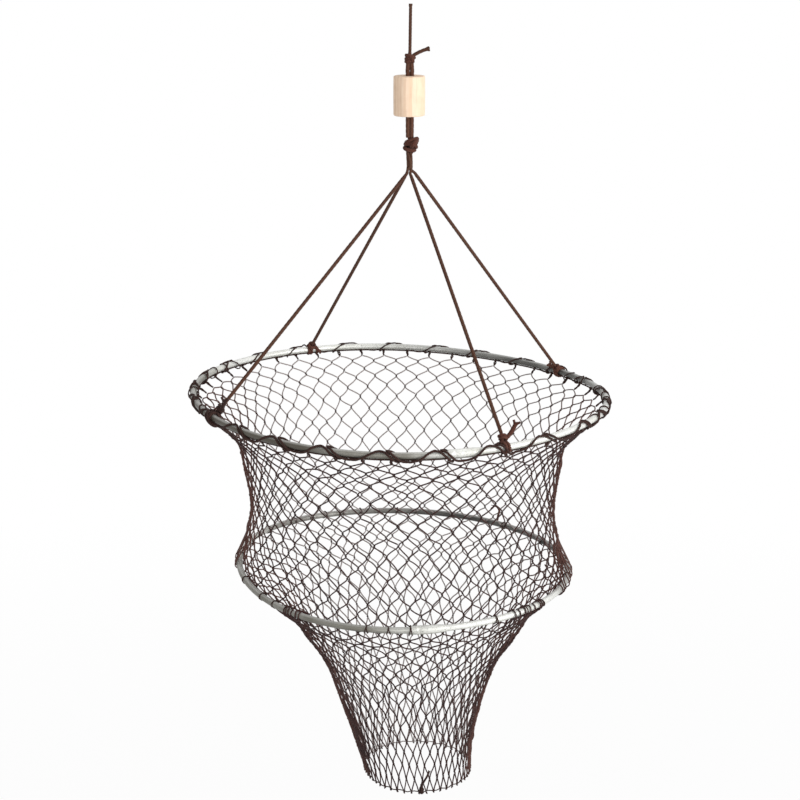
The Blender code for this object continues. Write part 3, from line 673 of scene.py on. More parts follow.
def steel_finish():
    """Galvanised tube: soft spangle, duller patches, dark specks, fine upright streaks, painted shade where it
    faces away from the light and on its underside, and a painted highlight along its top.
    """
    finish, tree, shader = new_finish("galvanised_steel")
    colour = tuple(colours().steel)
    place = add_node(tree, "ShaderNodeTexCoord").outputs["Object"]
    weather = use_group(tree, weather_group(), Patch_Scale=24.0, Speck_Scale=700.0)
    cells = add_node(tree, "ShaderNodeTexVoronoi", {"Scale": 330.0, "Randomness": 1.0})
    tree.links.new(place, cells.inputs["Vector"])
    spangle = add_node(tree, "ShaderNodeSeparateColor")
    tree.links.new(cells.outputs["Color"], spangle.inputs[0])
    body = mixed(tree, ramp(tree, spangle.outputs[0], 0.0, 1.0, 0.0, 0.28), colour, shaded(colour, 1.3))
    body = mixed(tree, ramp(tree, weather["Patch"], 0.2, 1.0, 0.0, 0.45), body,
                 shaded(colour, (0.62, 0.61, 0.52)))
    body = mixed(tree, ramp(tree, weather["Speck"], 0.72, 1.0, 0.0, 0.55), body, SPECK_COLOUR)
    # Painted shade: each part of the hoops that faces away from the light is darkened by its place
    for toward, low, high, least, shade_tone in STEEL_PAINTED_SHADE:
        side = add_node(tree, "ShaderNodeVectorMath", {1: toward}, operation="DOT_PRODUCT")
        tree.links.new(place, side.inputs[0])
        painted_shade_mask = maths(tree, "MULTIPLY", ramp(tree, side.outputs["Value"], low, high, 0.0, 1.0),
                       ramp(tree, weather["Patch"], 0.0, 1.0, least, 1.0))
        body = mixed(tree, painted_shade_mask, body, shade_tone)
    facing = add_node(tree, "ShaderNodeSeparateXYZ")
    tree.links.new(add_node(tree, "ShaderNodeTexCoord").outputs["Normal"], facing.inputs[0])
    upward = facing.outputs[2]
    # Painted shade: the tube's underside is darkened by its facing
    body = mixed(tree, ramp(tree, upward, -0.15, -0.85, 0.0, 1.0), body, UNDERSIDE_PAINTED_SHADE, "MULTIPLY")
    # Painted highlight along the top of the tube
    body = mixed(tree, ramp(tree, upward, 0.6, 0.95, 0.0, 0.35), body, TOP_PAINTED_HIGHLIGHT)
    tree.links.new(body, shader.inputs["Base Color"])
    streaks = noise(tree, scaled(tree, place, (60.0, 60.0, 900.0)), 1.0, 4.0, 0.6)
    rough = maths(tree, "MULTIPLY_ADD", streaks, 0.25,
                  maths(tree, "MULTIPLY_ADD", weather["Patch"], 0.14, 0.24))
    tree.links.new(rough, shader.inputs["Roughness"])
    tree.links.new(ramp(tree, weather["Speck"], 0.7, 1.0, 0.35, 0.15), shader.inputs["Metallic"])
    bump = add_node(tree, "ShaderNodeBump", {"Strength": 0.25, "Distance": 0.00012})
    tree.links.new(maths(tree, "ADD", streaks, maths(tree, "MULTIPLY", weather["Speck"], -0.8)),
                   bump.inputs["Height"])
    tree.links.new(bump.outputs[0], shader.inputs["Normal"])
    return finish


def wood_finish():
    """Pale turned softwood: growth rings that run up the float, pores, and grubby handling marks."""
    finish, tree, shader = new_finish("float_wood")
    colour = tuple(colours().wood)
    place = add_node(tree, "ShaderNodeTexCoord").outputs["Object"]
    weather = use_group(tree, weather_group(), Patch_Scale=70.0, Speck_Scale=1300.0)
    heart = scaled(tree, place, (1.0, 1.0, 0.06), (0.019, -0.016, 0.0))
    bent = add_node(tree, "ShaderNodeVectorMath", operation="ADD")
    wander = add_node(tree, "ShaderNodeTexNoise", {"Scale": 60.0, "Detail": 1.0})
    tree.links.new(heart, wander.inputs["Vector"])
    small = add_node(tree, "ShaderNodeVectorMath", {1: (0.003, 0.003, 0.0)}, operation="MULTIPLY")
    tree.links.new(wander.outputs["Color"], small.inputs[0])
    tree.links.new(heart, bent.inputs[0])
    tree.links.new(small.outputs[0], bent.inputs[1])
    rings = add_node(tree, "ShaderNodeTexWave", {"Scale": 95.0, "Distortion": 0.6, "Detail": 2.0},
                     wave_type="RINGS", rings_direction="Z", wave_profile="SAW")
    tree.links.new(bent.outputs[0], rings.inputs["Vector"])
    pores = noise(tree, scaled(tree, place, (1500.0, 1500.0, 45.0)), 1.0, 3.0, 0.6)
    body = mixed(tree, ramp(tree, rings.outputs[1], 0.25, 1.0, 0.0, 0.55), colour,
                 shaded(colour, (0.80, 0.68, 0.55)))
    body = mixed(tree, ramp(tree, pores, 0.56, 0.75, 0.0, 0.5), body,
                 shaded(colour, (0.62, 0.46, 0.33)))
    body = mixed(tree, ramp(tree, weather["Patch"], 0.45, 1.0, 0.0, 0.16), body,
                 shaded(colour, (0.6, 0.5, 0.42)))
    tree.links.new(body, shader.inputs["Base Color"])
    tree.links.new(ramp(tree, pores, 0.3, 0.7, 0.58, 0.78), shader.inputs["Roughness"])
    bump = add_node(tree, "ShaderNodeBump", {"Strength": 0.35, "Distance": 0.00015})
    tree.links.new(maths(tree, "MULTIPLY_ADD", rings.outputs[1], -0.4, maths(tree, "MULTIPLY", pores, -0.8)),
                   bump.inputs["Height"])
    tree.links.new(bump.outputs[0], shader.inputs["Normal"])
    return finish


FINISHES = {}


def finish_of(name):
    """A finish by name, made when it is first asked for."""
    if name not in FINISHES:
        tints = colours()
        lay_turns = 1.0 / sizes().cord_lay
        makers = {
            "cord": lambda: cord_finish("bridle_cord", tuple(tints.cord), yarn_turns=lay_turns),
            "knots": lambda: cord_finish("pulled_knots", tuple(tints.knots), yarn_turns=lay_turns,
                                         fade=(0.20, 0.10, 0.07)),
            "lacing": lambda: cord_finish("rim_lacing", tuple(tints.lacing), yarn_turns=lay_turns,
                                          fade=(0.075, 0.034, 0.026)),
            "twine": lambda: cord_finish("net_twine", tuple(tints.twine), strand_turns=-210.0, yarn_turns=0.0,
                                         yarns=9.0, fade=(0.105, 0.042, 0.032), far_fade=(0.40, 0.35, 0.335),
                                         side_tint=(0.115, 0.045, 0.032)),
            "net_knots": lambda: cord_finish("net_knots", shaded(tuple(tints.twine), 0.7), yarn_turns=400.0,
                                             yarns=6.0, fade=(0.090, 0.036, 0.028),
                                             far_fade=(0.085, 0.062, 0.057), side_tint=(0.110, 0.042, 0.030)),
            "draw": lambda: cord_finish("draw_cord", tuple(tints.lacing), yarn_turns=lay_turns,
                                        fade=(0.075, 0.034, 0.026), far_fade=(0.40, 0.35, 0.335)),
            "strop": lambda: cord_finish("strop_cord", shaded(tuple(tints.cord), 1.2), yarn_turns=lay_turns,
                                         fade=(0.16, 0.080, 0.048)),
            "steel": steel_finish,
            "wood": wood_finish,
        }
        FINISHES[name] = makers[name]()
    return FINISHES[name]


# ---------------------------------------------------------------- stage

def white_for_sight(tree):
    """One for rays that look at a surface, straight, in a gloss or through glass; zero for light."""
    path = add_node(tree, "ShaderNodeLightPath")
    seen = maths(tree, "MAXIMUM", path.outputs["Is Camera Ray"], path.outputs["Is Glossy Ray"])
    return maths(tree, "MAXIMUM", seen, path.outputs["Is Transmission Ray"])


class DROPNET_OT_stage(bpy.types.Operator):
    """Make the camera, the lights, the white surroundings and the pale floor"""

    bl_idname = "dropnet.stage"
    bl_label = "Stage"

    def execute(self, context):
        self.camera(context)
        self.lights()
        self.world(context)
        self.floor()
        context.scene.view_settings.view_transform = "Standard"
        return {"FINISHED"}

    def camera(self, context):
        data = bpy.data.cameras.new("camera")
        data.lens = CAMERA_LENS
        data.sensor_width = SENSOR_WIDTH
        data.clip_start, data.clip_end = 0.05, 50.0
        camera = link_piece("camera", data)
        camera.location = CAMERA_PLACE
        camera.rotation_euler = (math.radians(90.0 - CAMERA_PITCH), 0.0, 0.0)
        context.scene.camera = camera

    def lights(self):
        for name, place, size, power in LIGHTS:
            data = bpy.data.lights.new(name, "AREA")
            data.shape = "DISK"
            data.size = size
            data.energy = power
            lamp = link_piece(name, data)
            lamp.location = place
            toward = Vector(LIGHTS_AIM) - Vector(place)
            lamp.rotation_euler = toward.to_track_quat("-Z", "Y").to_euler()

    def world(self, context):
        world = bpy.data.worlds.new("studio")
        world.use_nodes = True
        tree = world.node_tree
        tree.nodes.clear()
        light = add_node(tree, "ShaderNodeBackground", {"Color": WHITE, "Strength": WORLD_STRENGTH})
        sight = add_node(tree, "ShaderNodeBackground", {"Color": WHITE, "Strength": 1.0})
        blend = add_node(tree, "ShaderNodeMixShader")
        tree.links.new(white_for_sight(tree), blend.inputs[0])
        tree.links.new(light.outputs[0], blend.inputs[1])
        tree.links.new(sight.outputs[0], blend.inputs[2])
        out = add_node(tree, "ShaderNodeOutputWorld")
        tree.links.new(blend.outputs[0], out.inputs["Surface"])
        context.scene.world = world

    def floor(self):
        builder = bmesh.new()
        bmesh.ops.create_circle(builder, cap_ends=True, segments=96, radius=FLOOR_RADIUS,
                                matrix=Matrix.Translation((0.0, 0.0, FLOOR_Z)))
        finish, tree, shader = new_finish("pale_floor")
        colour = tuple(colours().floor)
        shader.inputs["Roughness"].default_value = 0.9
        place = add_node(tree, "ShaderNodeTexCoord").outputs["Object"]
        clouds = ramp(tree, noise(tree, place, 6.0), 0.4, 0.6, 0.0, 0.5)
        tone = mixed(tree, clouds, colour, shaded(colour, 1.02))
        tree.links.new(tone, shader.inputs["Base Color"])
        distance = add_node(tree, "ShaderNodeVectorMath", operation="LENGTH")
        tree.links.new(scaled(tree, place, (1.0, 1.0, 0.0)), distance.inputs[0])
        bright = ramp(tree, distance.outputs["Value"], 0.5, 2.4, 0.92, 1.0)
        glow = add_node(tree, "ShaderNodeEmission", {"Color": WHITE, "Strength": 1.0})
        blend = add_node(tree, "ShaderNodeMixShader")
        tree.links.new(maths(tree, "MULTIPLY", white_for_sight(tree), bright), blend.inputs[0])
        tree.links.new(shader.outputs[0], blend.inputs[1])
        tree.links.new(glow.outputs[0], blend.inputs[2])
        tree.links.new(blend.outputs[0], tree.nodes["Material Output"].inputs["Surface"])
        floor = piece_from("floor", builder, finish)


# ---------------------------------------------------------------- haul line, strop and float

class DROPNET_OT_haul_line(bpy.types.Operator):
    """Make the haul line, the knot that joins it to the strop, and its short tail"""

    bl_idname = "dropnet.haul_line"
    bl_label = "Haul Line"

    TURNS = (((0.0001, 0.0, 0.0021), (0.20, 0.10, 1.0), 0.0034, 0.0027),
             ((0.0002, 0.0, 0.0001), (-0.12, 0.05, 1.0), 0.0037, 0.0029),
             ((-0.0004, 0.0, -0.0019), (-0.30, -0.12, 1.0), 0.0032, 0.0026),
             ((0.0008, -0.0004, 0.0), (0.85, 0.25, 0.55), 0.0036, 0.0033))

    def execute(self, context):
        self.line()
        self.knot()
        self.tail()
        return {"FINISHED"}

    def line(self):
        diameter = sizes().line_diameter
        exit_place = Vector((STROP_X, 0.0, LINE_END))
        route = smooth_route([exit_place, Vector((-0.0004, 0.0, LINE_END * 0.7)),
                              Vector((-0.0002, 0.0, LINE_END * 0.35)), Vector((0.0, 0.0, 0.0))], 8)
        builder = bmesh.new()
        lay_cords(builder, [route], diameter, sizes().cord_lay * TIGHT_LAY,
                  swell=lambda share: 1.0 + 0.20 * smooth_step((share - 0.94) / 0.03))
        piece = piece_from("haul_line_cord", builder, finish_of("cord"), sharp=50)
        settle(piece, "haul", "cord", "haul_line")

    def knot(self):
        """A sheet bend pulled tight: the line's turns lie across the strop's eye."""
        centre = Vector((STROP_X, 0.0, LINE_KNOT_Z))
        cord = sizes().cord_diameter
        builder = bmesh.new()
        lay_cords(builder, knot_turns(centre, self.TURNS), cord * 0.96, sizes().cord_lay * TIGHT_LAY,
                  closed=True)
        past = 0.001
        throat = [Vector((STROP_X, 0.0, LINE_END + past)), centre,
                  Vector((STROP_X, 0.0, LINE_KNOT_FOOT - past))]
        lay_cords(builder, [smooth_route(throat, 4)], cord * 0.98, sizes().cord_lay)
        cord_piece("line_knot_turns", builder, "knots", "haul", "knot", "line_knot")

    def tail(self):
        """The line's cut end, which stands out of the knot to the right and thickens towards its cut."""
        depth, reach, rise = 0.0036, 0.0152, 0.0064
        start = Vector((STROP_X, 0.0, LINE_KNOT_Z)) + Vector((1.0, 0.0, 0.92)).normalized() * depth
        route = smooth_route([start, start + Vector((reach * 0.36, -0.0004, rise * 0.48)),
                              start + Vector((reach * 0.72, -0.0003, rise * 0.83)),
                              start + Vector((reach, 0.0, rise))], 4)
        builder = bmesh.new()
        lay_cords(builder, [route], sizes().cord_diameter, sizes().cord_lay,
                  swell=lambda share: 1.0 + 0.40 * smooth_step((share - 0.8) / 0.15))
        frayed_end(builder, route, sizes().cord_diameter, random.Random(3), spread=0.8, length=0.0016)
        cord_piece("line_tail_cord", builder, "cord", "haul", "cord", "line_tail")


class DROPNET_OT_strop(bpy.types.Operator):
    """Make the doubled cord that carries the float, and the bridle knot under it"""

    bl_idname = "dropnet.strop"
    bl_label = "Strop"

    # Heights, and how far each strand keeps from the middle there
    STRANDS = ((LINE_KNOT_FOOT + 0.0015, 0.0015), (-0.0550, 0.0017), (-0.0590, 0.0020), (FLOAT_TOP, 0.00185),
               (-0.0750, 0.0018), (FLOAT_FOOT, 0.0018), (-0.1090, 0.0018), (BRIDLE_KNOT_TOP, 0.0017),
               (BRIDLE_KNOT_TOP - 0.0020, 0.0015))
    TURNS = (((-0.0004, 0.0, 0.0036), (-0.34, 0.20, 1.0), 0.0052, 0.0042),
             ((-0.0024, 0.0, -0.0042), (0.22, -0.15, 1.0), 0.0046, 0.0042),
             ((-0.0012, 0.0, 0.0008), (-0.10, 0.15, 1.0), 0.0050, 0.0041),
             ((0.0020, -0.0006, 0.0008), (-0.95, 0.20, 0.75), 0.0038, 0.0066),
             ((-0.0002, 0.0006, 0.0), (0.60, 0.35, 0.85), 0.0046, 0.0050))

    def execute(self, context):
        cord = sizes().cord_diameter
        for name, side in (("strop_left", -1.0), ("strop_right", 1.0)):
            points = [Vector((STROP_X + side * out, 0.0, height)) for height, out in self.STRANDS]
            builder = bmesh.new()
            lay_cords(builder, [smooth_route(points, 6)], cord * 1.2, sizes().cord_lay * STROP_LAY)
            cord_piece(name + "_cord", builder, "strop", "haul", "cord", name)
        self.knot(cord)
        return {"FINISHED"}

    def knot(self, cord):
        """The overhand knot of the doubled cord, drawn down to a lump with one eye standing out."""
        centre = Vector((STROP_X + 0.0022, 0.0, BRIDLE_KNOT_Z - 0.0006))
        builder = bmesh.new()
        lay_cords(builder, knot_turns(centre, self.TURNS), cord * 1.12, sizes().cord_lay, closed=True)
        apart, past = 0.0015, 0.0005
        for side in (-1.0, 1.0):
            core = [Vector((STROP_X + side * apart, 0.0, BRIDLE_KNOT_TOP + past)),
                    centre + Vector((side * 0.0013, side * -0.0008, 0.0)),
                    Vector((STROP_X + side * apart, 0.0, BRIDLE_KNOT_FOOT - past))]
            lay_cords(builder, [smooth_route(core, 4)], cord * 0.94, sizes().cord_lay)
        cord_piece("bridle_knot_turns", builder, "knots", "haul", "knot", "bridle_knot")


class DROPNET_OT_wooden_float(bpy.types.Operator):
    """Turn the wooden float with its bore"""

    bl_idname = "dropnet.wooden_float"
    bl_label = "Wooden Float"

    def execute(self, context):
        outer, bore, half = FLOAT_RADIUS, FLOAT_BORE_RADIUS, (FLOAT_TOP - FLOAT_FOOT) / 2
        edge, lip, barrel, wear = 0.0011, 0.0005, 0.00012, 0.001
        section = [(bore, 0.0), (bore, lip - half), (bore + lip, -half), (outer - edge, -half),
                   (outer - edge * 0.3, edge * 0.3 - half), (outer, edge - half), (outer + barrel, 0.0),
                   (outer, half - edge), (outer - edge * 0.3, half - edge * 0.3), (outer - edge, half),
                   (bore + lip, half), (bore, half - lip)]
        builder = bmesh.new()
        verts = [builder.verts.new((x, 0.0, z)) for x, z in section]
        for start, end in zip(verts, verts[1:] + verts[:1]):
            builder.edges.new((start, end))
        bmesh.ops.spin(builder, geom=builder.verts[:] + builder.edges[:], axis=UP, cent=(0.0, 0.0, 0.0),
                       angle=TAU, steps=72, use_merge=True)
        rng = random.Random(11)
        for vert in builder.verts:
            worn = 1.0 + rng.uniform(-wear, wear)
            vert.co.x *= worn
            vert.co.y *= worn
        middle = Matrix.Translation((FLOAT_X, 0.0, (FLOAT_TOP + FLOAT_FOOT) / 2))
        bmesh.ops.transform(builder, matrix=middle, verts=builder.verts)
        settle(piece_from("turned_float", builder, finish_of("wood"), sharp=40), "float", "wood",
               "wooden_float")
        return {"FINISHED"}


# ---------------------------------------------------------------- bridle

def leg_side(name):
    """How far a leg keeps from the middle of the bundle, towards its own side."""
    apart = 0.0017
    return Vector((apart if "right" in name else -apart, apart if "back" in name else -apart, 0.0))


def leg_apex(name):
    """Where a leg leaves the bundle under the bridle knot."""
    return Vector((THROAT_X + APEX_SHIFT.get(name, 0.0), 0.0, APEX_Z)) + leg_side(name) * 1.25


def leg_slope(name):
    """The way that a leg runs up from the hoop."""
    return (leg_apex(name) - UPPER.round_tube(LEG_AZIMUTHS[name])).normalized()


def hitch_centre(name):
    """The middle of a hitch's knot, in line with its leg."""
    return UPPER.round_tube(LEG_AZIMUTHS[name]) + leg_slope(name) * HITCH_REACH[name]


class DROPNET_OT_bridle(bpy.types.Operator):
    """Make the four legs of the bridle"""

    bl_idname = "dropnet.bridle"
    bl_label = "Bridle Legs"

    BUNDLE_LENGTH = 0.020
    BUNDLE_TWIST = 70.0
    BEND = 0.0031

    def execute(self, context):
        cord = sizes().cord_diameter
        twist = Matrix.Rotation(math.radians(self.BUNDLE_TWIST), 3, "Z")
        for name in LEG_AZIMUTHS:
            offset = leg_side(name)
            top = Vector((STROP_X - 0.0006, 0.0, BRIDLE_KNOT_FOOT + 0.0015)) + offset * 0.95
            middle = Vector((THROAT_X + 0.0004, 0.0, APEX_Z + 0.0080)) + twist @ offset * 0.72
            above = Vector((THROAT_X, 0.0, APEX_Z + self.BEND)) + offset * 0.88
            apex = leg_apex(name)
            slope = leg_slope(name)
            end = hitch_centre(name) + slope * 0.0050
            bend = apex - slope * self.BEND
            straight = [bend.lerp(end, k / 8) for k in range(1, 9)]
            route = smooth_route([top, middle, above, apex, bend], 4) + straight
            builder = bmesh.new()
            bundled = self.BUNDLE_LENGTH / route_length(route)
            lay_cords(builder, [route], cord, sizes().cord_lay * LEG_LAY,
                      swell=lambda share: 0.80 + 0.20 * smooth_step((share - bundled) / 0.03))
            piece = piece_from("leg_" + name, builder, finish_of("cord"), sharp=60)
            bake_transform(piece)
            label(piece, "cord", "bridle_leg_" + name)
        return {"FINISHED"}


class DROPNET_OT_hitches(bpy.types.Operator):
    """Tie each leg to the upper hoop with a round turn and two half hitches"""

    bl_idname = "dropnet.hitches"
    bl_label = "Hitches"

    # For each tail: the side that it leaves to, its climb against that way, and its length
    TAILS = {"front_left": (1.0, 1.3, 0.0085), "front_right": (1.0, 1.2, 0.0110),
             "back_right": (1.0, 0.1, 0.0105), "back_left": (-1.0, -1.1, 0.0065)}

    def execute(self, context):
        cord = sizes().cord_diameter
        tight = cord * 0.8
        rng = random.Random(5)
        for name, azimuth in LEG_AZIMUTHS.items():
            builder = bmesh.new()
            lay_cords(builder, [self.route(name, azimuth, tight)], tight, sizes().cord_lay)
            tail = self.tail(name, azimuth)
            lay_cords(builder, [tail], cord * 1.15, sizes().cord_lay * TIGHT_LAY)
            frayed_end(builder, tail, cord * 1.25, rng, spread=0.8)
            # Painted shade: the front left hitch, which faces away from the light, gets the darker lacing
            # finish
            finish = "lacing" if name == "front_left" else "knots"
            cord_piece("hitch_" + name, builder, finish, "upper_ring", "knot", "hitch_knot_" + name,
                       "hitch_turns_" + name, "hitch_tail_" + name)
        return {"FINISHED"}

    def route(self, name, azimuth, cord):
        """Down beside the leg, twice round the tube, up again and twice round the leg."""
        slope = leg_slope(name)
        middle = hitch_centre(name)
        reach = HOOP_TUBE_RADIUS + cord / 2 + CLEARANCE
        pitch = UPPER.degrees(cord * 1.04)
        long_knot, rise_long, rise_short = 0.009, 0.0027, 0.0020
        rise = rise_long if HITCH_REACH[name] > long_knot else rise_short
        side = slope.cross(UPPER.sideways(azimuth)).normalized()
        across = slope.cross(side).normalized()
        coil_radius, coil_start = cord * 1.05, 0.6
        turns = [step / 12 for step in range(25)]
        points = [middle + slope * 0.0065, middle + slope * 0.001]
        for turn in turns:
            points.append(UPPER.round_tube(azimuth + pitch * (turn - 1.0), HITCH_PHI - 360.0 * turn, reach))
        for turn in turns:
            along = middle + slope * rise * (turn - 1.0)
            angle = TAU * turn + coil_start
            points.append(along + (across * math.cos(angle) + side * math.sin(angle)) * coil_radius)
        return smooth_route(points, 2)

    def tail(self, name, azimuth):
        """The route of a cut end, which leaves the knot along the tube."""
        side, climb, length = self.TAILS[name]
        sideways = UPPER.sideways(azimuth) * side
        start = hitch_centre(name) + sideways * 0.0022 - leg_slope(name) * 0.0008
        return smooth_route([start, start + (sideways + UP * climb * 0.6) * length * 0.35,
                             start + (sideways + UP * climb * 0.85) * length * 0.7,
                             start + (sideways + UP * climb) * length], 4)


# ---------------------------------------------------------------- hoops and their lacing

class DROPNET_OT_hoops(bpy.types.Operator):
    """Bend both hoops of galvanised tube, each with its swelled and crimped joint"""

    bl_idname = "dropnet.hoops"
    bl_label = "Hoops"

    def execute(self, context):
        for name, hoop, body in (("upper_hoop", UPPER, "upper_ring"), ("lower_hoop", LOWER, "lower_ring")):
            self.tube(name, hoop, body)
            self.socket(name, hoop, body, *JOINTS[name])
        return {"FINISHED"}

    def ring(self, builder, hoop, azimuth, radius, sides):
        """One section of the tube at an azimuth."""
        stand = Matrix.Rotation(math.radians(90.0), 4, "X")
        turn = Matrix.Rotation(math.radians(azimuth), 4, "Z")
        matrix = turn @ Matrix.Translation((hoop.radius, 0.0, 0.0)) @ stand
        return bmesh.ops.create_circle(builder, segments=sides, radius=radius, matrix=matrix)["verts"]

    def stray(self, turn):
        """How far the hand-bent tube strays outward from its circle."""
        return 0.0006 * math.sin(2.0 * turn + 0.7) + 0.0003 * math.sin(5.0 * turn)

    def tube(self, name, hoop, body):
        builder = bmesh.new()
        self.ring(builder, hoop, 0.0, HOOP_TUBE_RADIUS, 20)
        bmesh.ops.spin(builder, geom=builder.edges[:], axis=UP, cent=(0.0, 0.0, 0.0), angle=TAU, steps=216,
                       use_merge=True)
        for vert in builder.verts:
            turn = math.atan2(vert.co.y, vert.co.x)
            out = self.stray(turn)
            vert.co += Vector((math.cos(turn) * out, math.sin(turn) * out, hoop.lift(math.degrees(turn))))
        bmesh.ops.transform(builder, matrix=hoop.frame, verts=builder.verts)
        settle(piece_from(name + "_tube", builder, finish_of("steel")), body, "steel", name)

    def socket(self, name, hoop, body, mouth, end, dimple):
        """The tube's end, swelled over the other end and crimped near its mouth."""
        arc = math.radians(end - mouth)
        builder = bmesh.new()
        self.ring(builder, hoop, mouth, SOCKET_RADIUS, 28)
        bmesh.ops.spin(builder, geom=builder.edges[:], axis=UP, cent=(0.0, 0.0, 0.0), angle=arc, steps=44)
        # Shares of the swelled length, and the tube's outer radius there
        profile = ((0.0, SOCKET_RADIUS), (0.02, 0.00416), (0.06, 0.00408), (0.70, 0.00402), (0.84, 0.0036),
                   (0.95, 0.00312), (1.0, 0.00301))
        dimple_width, dimple_depth, dimple_lift, dimple_sharpness = 0.0017, 0.0011, 0.25, 3.5
        bore_share = 0.76
        for vert in builder.verts:
            turn = math.atan2(vert.co.y, vert.co.x)
            share = (math.degrees(turn) - mouth) / (end - mouth)
            middle = Vector((math.cos(turn), math.sin(turn), 0.0)) * hoop.radius
            out = (vert.co - middle).normalized()
            radius = reading(profile, min(1.0, max(0.0, share)))
            facing = out.dot(Vector((math.cos(turn), math.sin(turn), dimple_lift)).normalized())
            off = (math.degrees(turn) - dimple) / hoop.degrees(dimple_width)
            aside = (1.0 - facing) * dimple_sharpness
            radius -= dimple_depth * math.exp(-off * off - aside * aside) if facing > 0.0 else 0.0
            vert.co = middle * (1.0 + self.stray(turn) / hoop.radius) + out * radius
        rim = [edge for edge in builder.edges if edge.is_boundary
               and abs(math.degrees(math.atan2(edge.verts[0].co.y, edge.verts[0].co.x)) - mouth) < 0.05]
        inner = bmesh.ops.extrude_edge_only(builder, edges=rim)["geom"]
        for vert in (item for item in inner if isinstance(item, bmesh.types.BMVert)):
            turn = math.atan2(vert.co.y, vert.co.x)
            middle = Vector((math.cos(turn), math.sin(turn), 0.0)) * hoop.radius
            vert.co = middle + (vert.co - middle) * bore_share
        for vert in builder.verts:
            vert.co.z += hoop.lift(math.degrees(math.atan2(vert.co.y, vert.co.x)))
        bmesh.ops.transform(builder, matrix=hoop.frame, verts=builder.verts)
        settle(piece_from(name + "_socket", builder, finish_of("steel"), sharp=45), body, "steel",
               name + "_sleeve")


def lacing_crests():
    """Azimuths at which the lacing crosses the top of the hoop, in order, one per turn.

    Those at the front are off their even places by noted amounts, and the others by a random one."""
    pitch = 360.0 / LACING_TURNS
    noted = {-3: 0.9, -2: -0.4, -1: -0.8, 0: 0.0, 1: -0.8, 2: -0.8, 3: -0.3, 4: 2.8}
    rng = random.Random(21)
    return [LACING_CREST + pitch * k + noted.get(k, rng.uniform(-1.2, 1.2))
            for k in range(-3, LACING_TURNS - 3)]


# The lacing's way from crest to crest: share of the turn along the hoop, and angle round the tube. It falls
# over the front, goes back up the inside, falls again beside itself and then rises to the next crest.
LACING_PATH = ((0.0, 84.0), (0.09, 60.0), (0.18, 4.0), (0.27, -50.0), (0.35, -92.0), (0.37, -128.0),
               (0.30, -180.0), (0.19, -232.0), (0.12, -266.0), (0.185, -304.0), (0.275, -357.0),
               (0.37, -408.0), (0.48, -437.0), (0.59, -432.0), (0.71, -400.0), (0.83, -342.0), (0.92, -300.0),
               (1.0, -276.0))


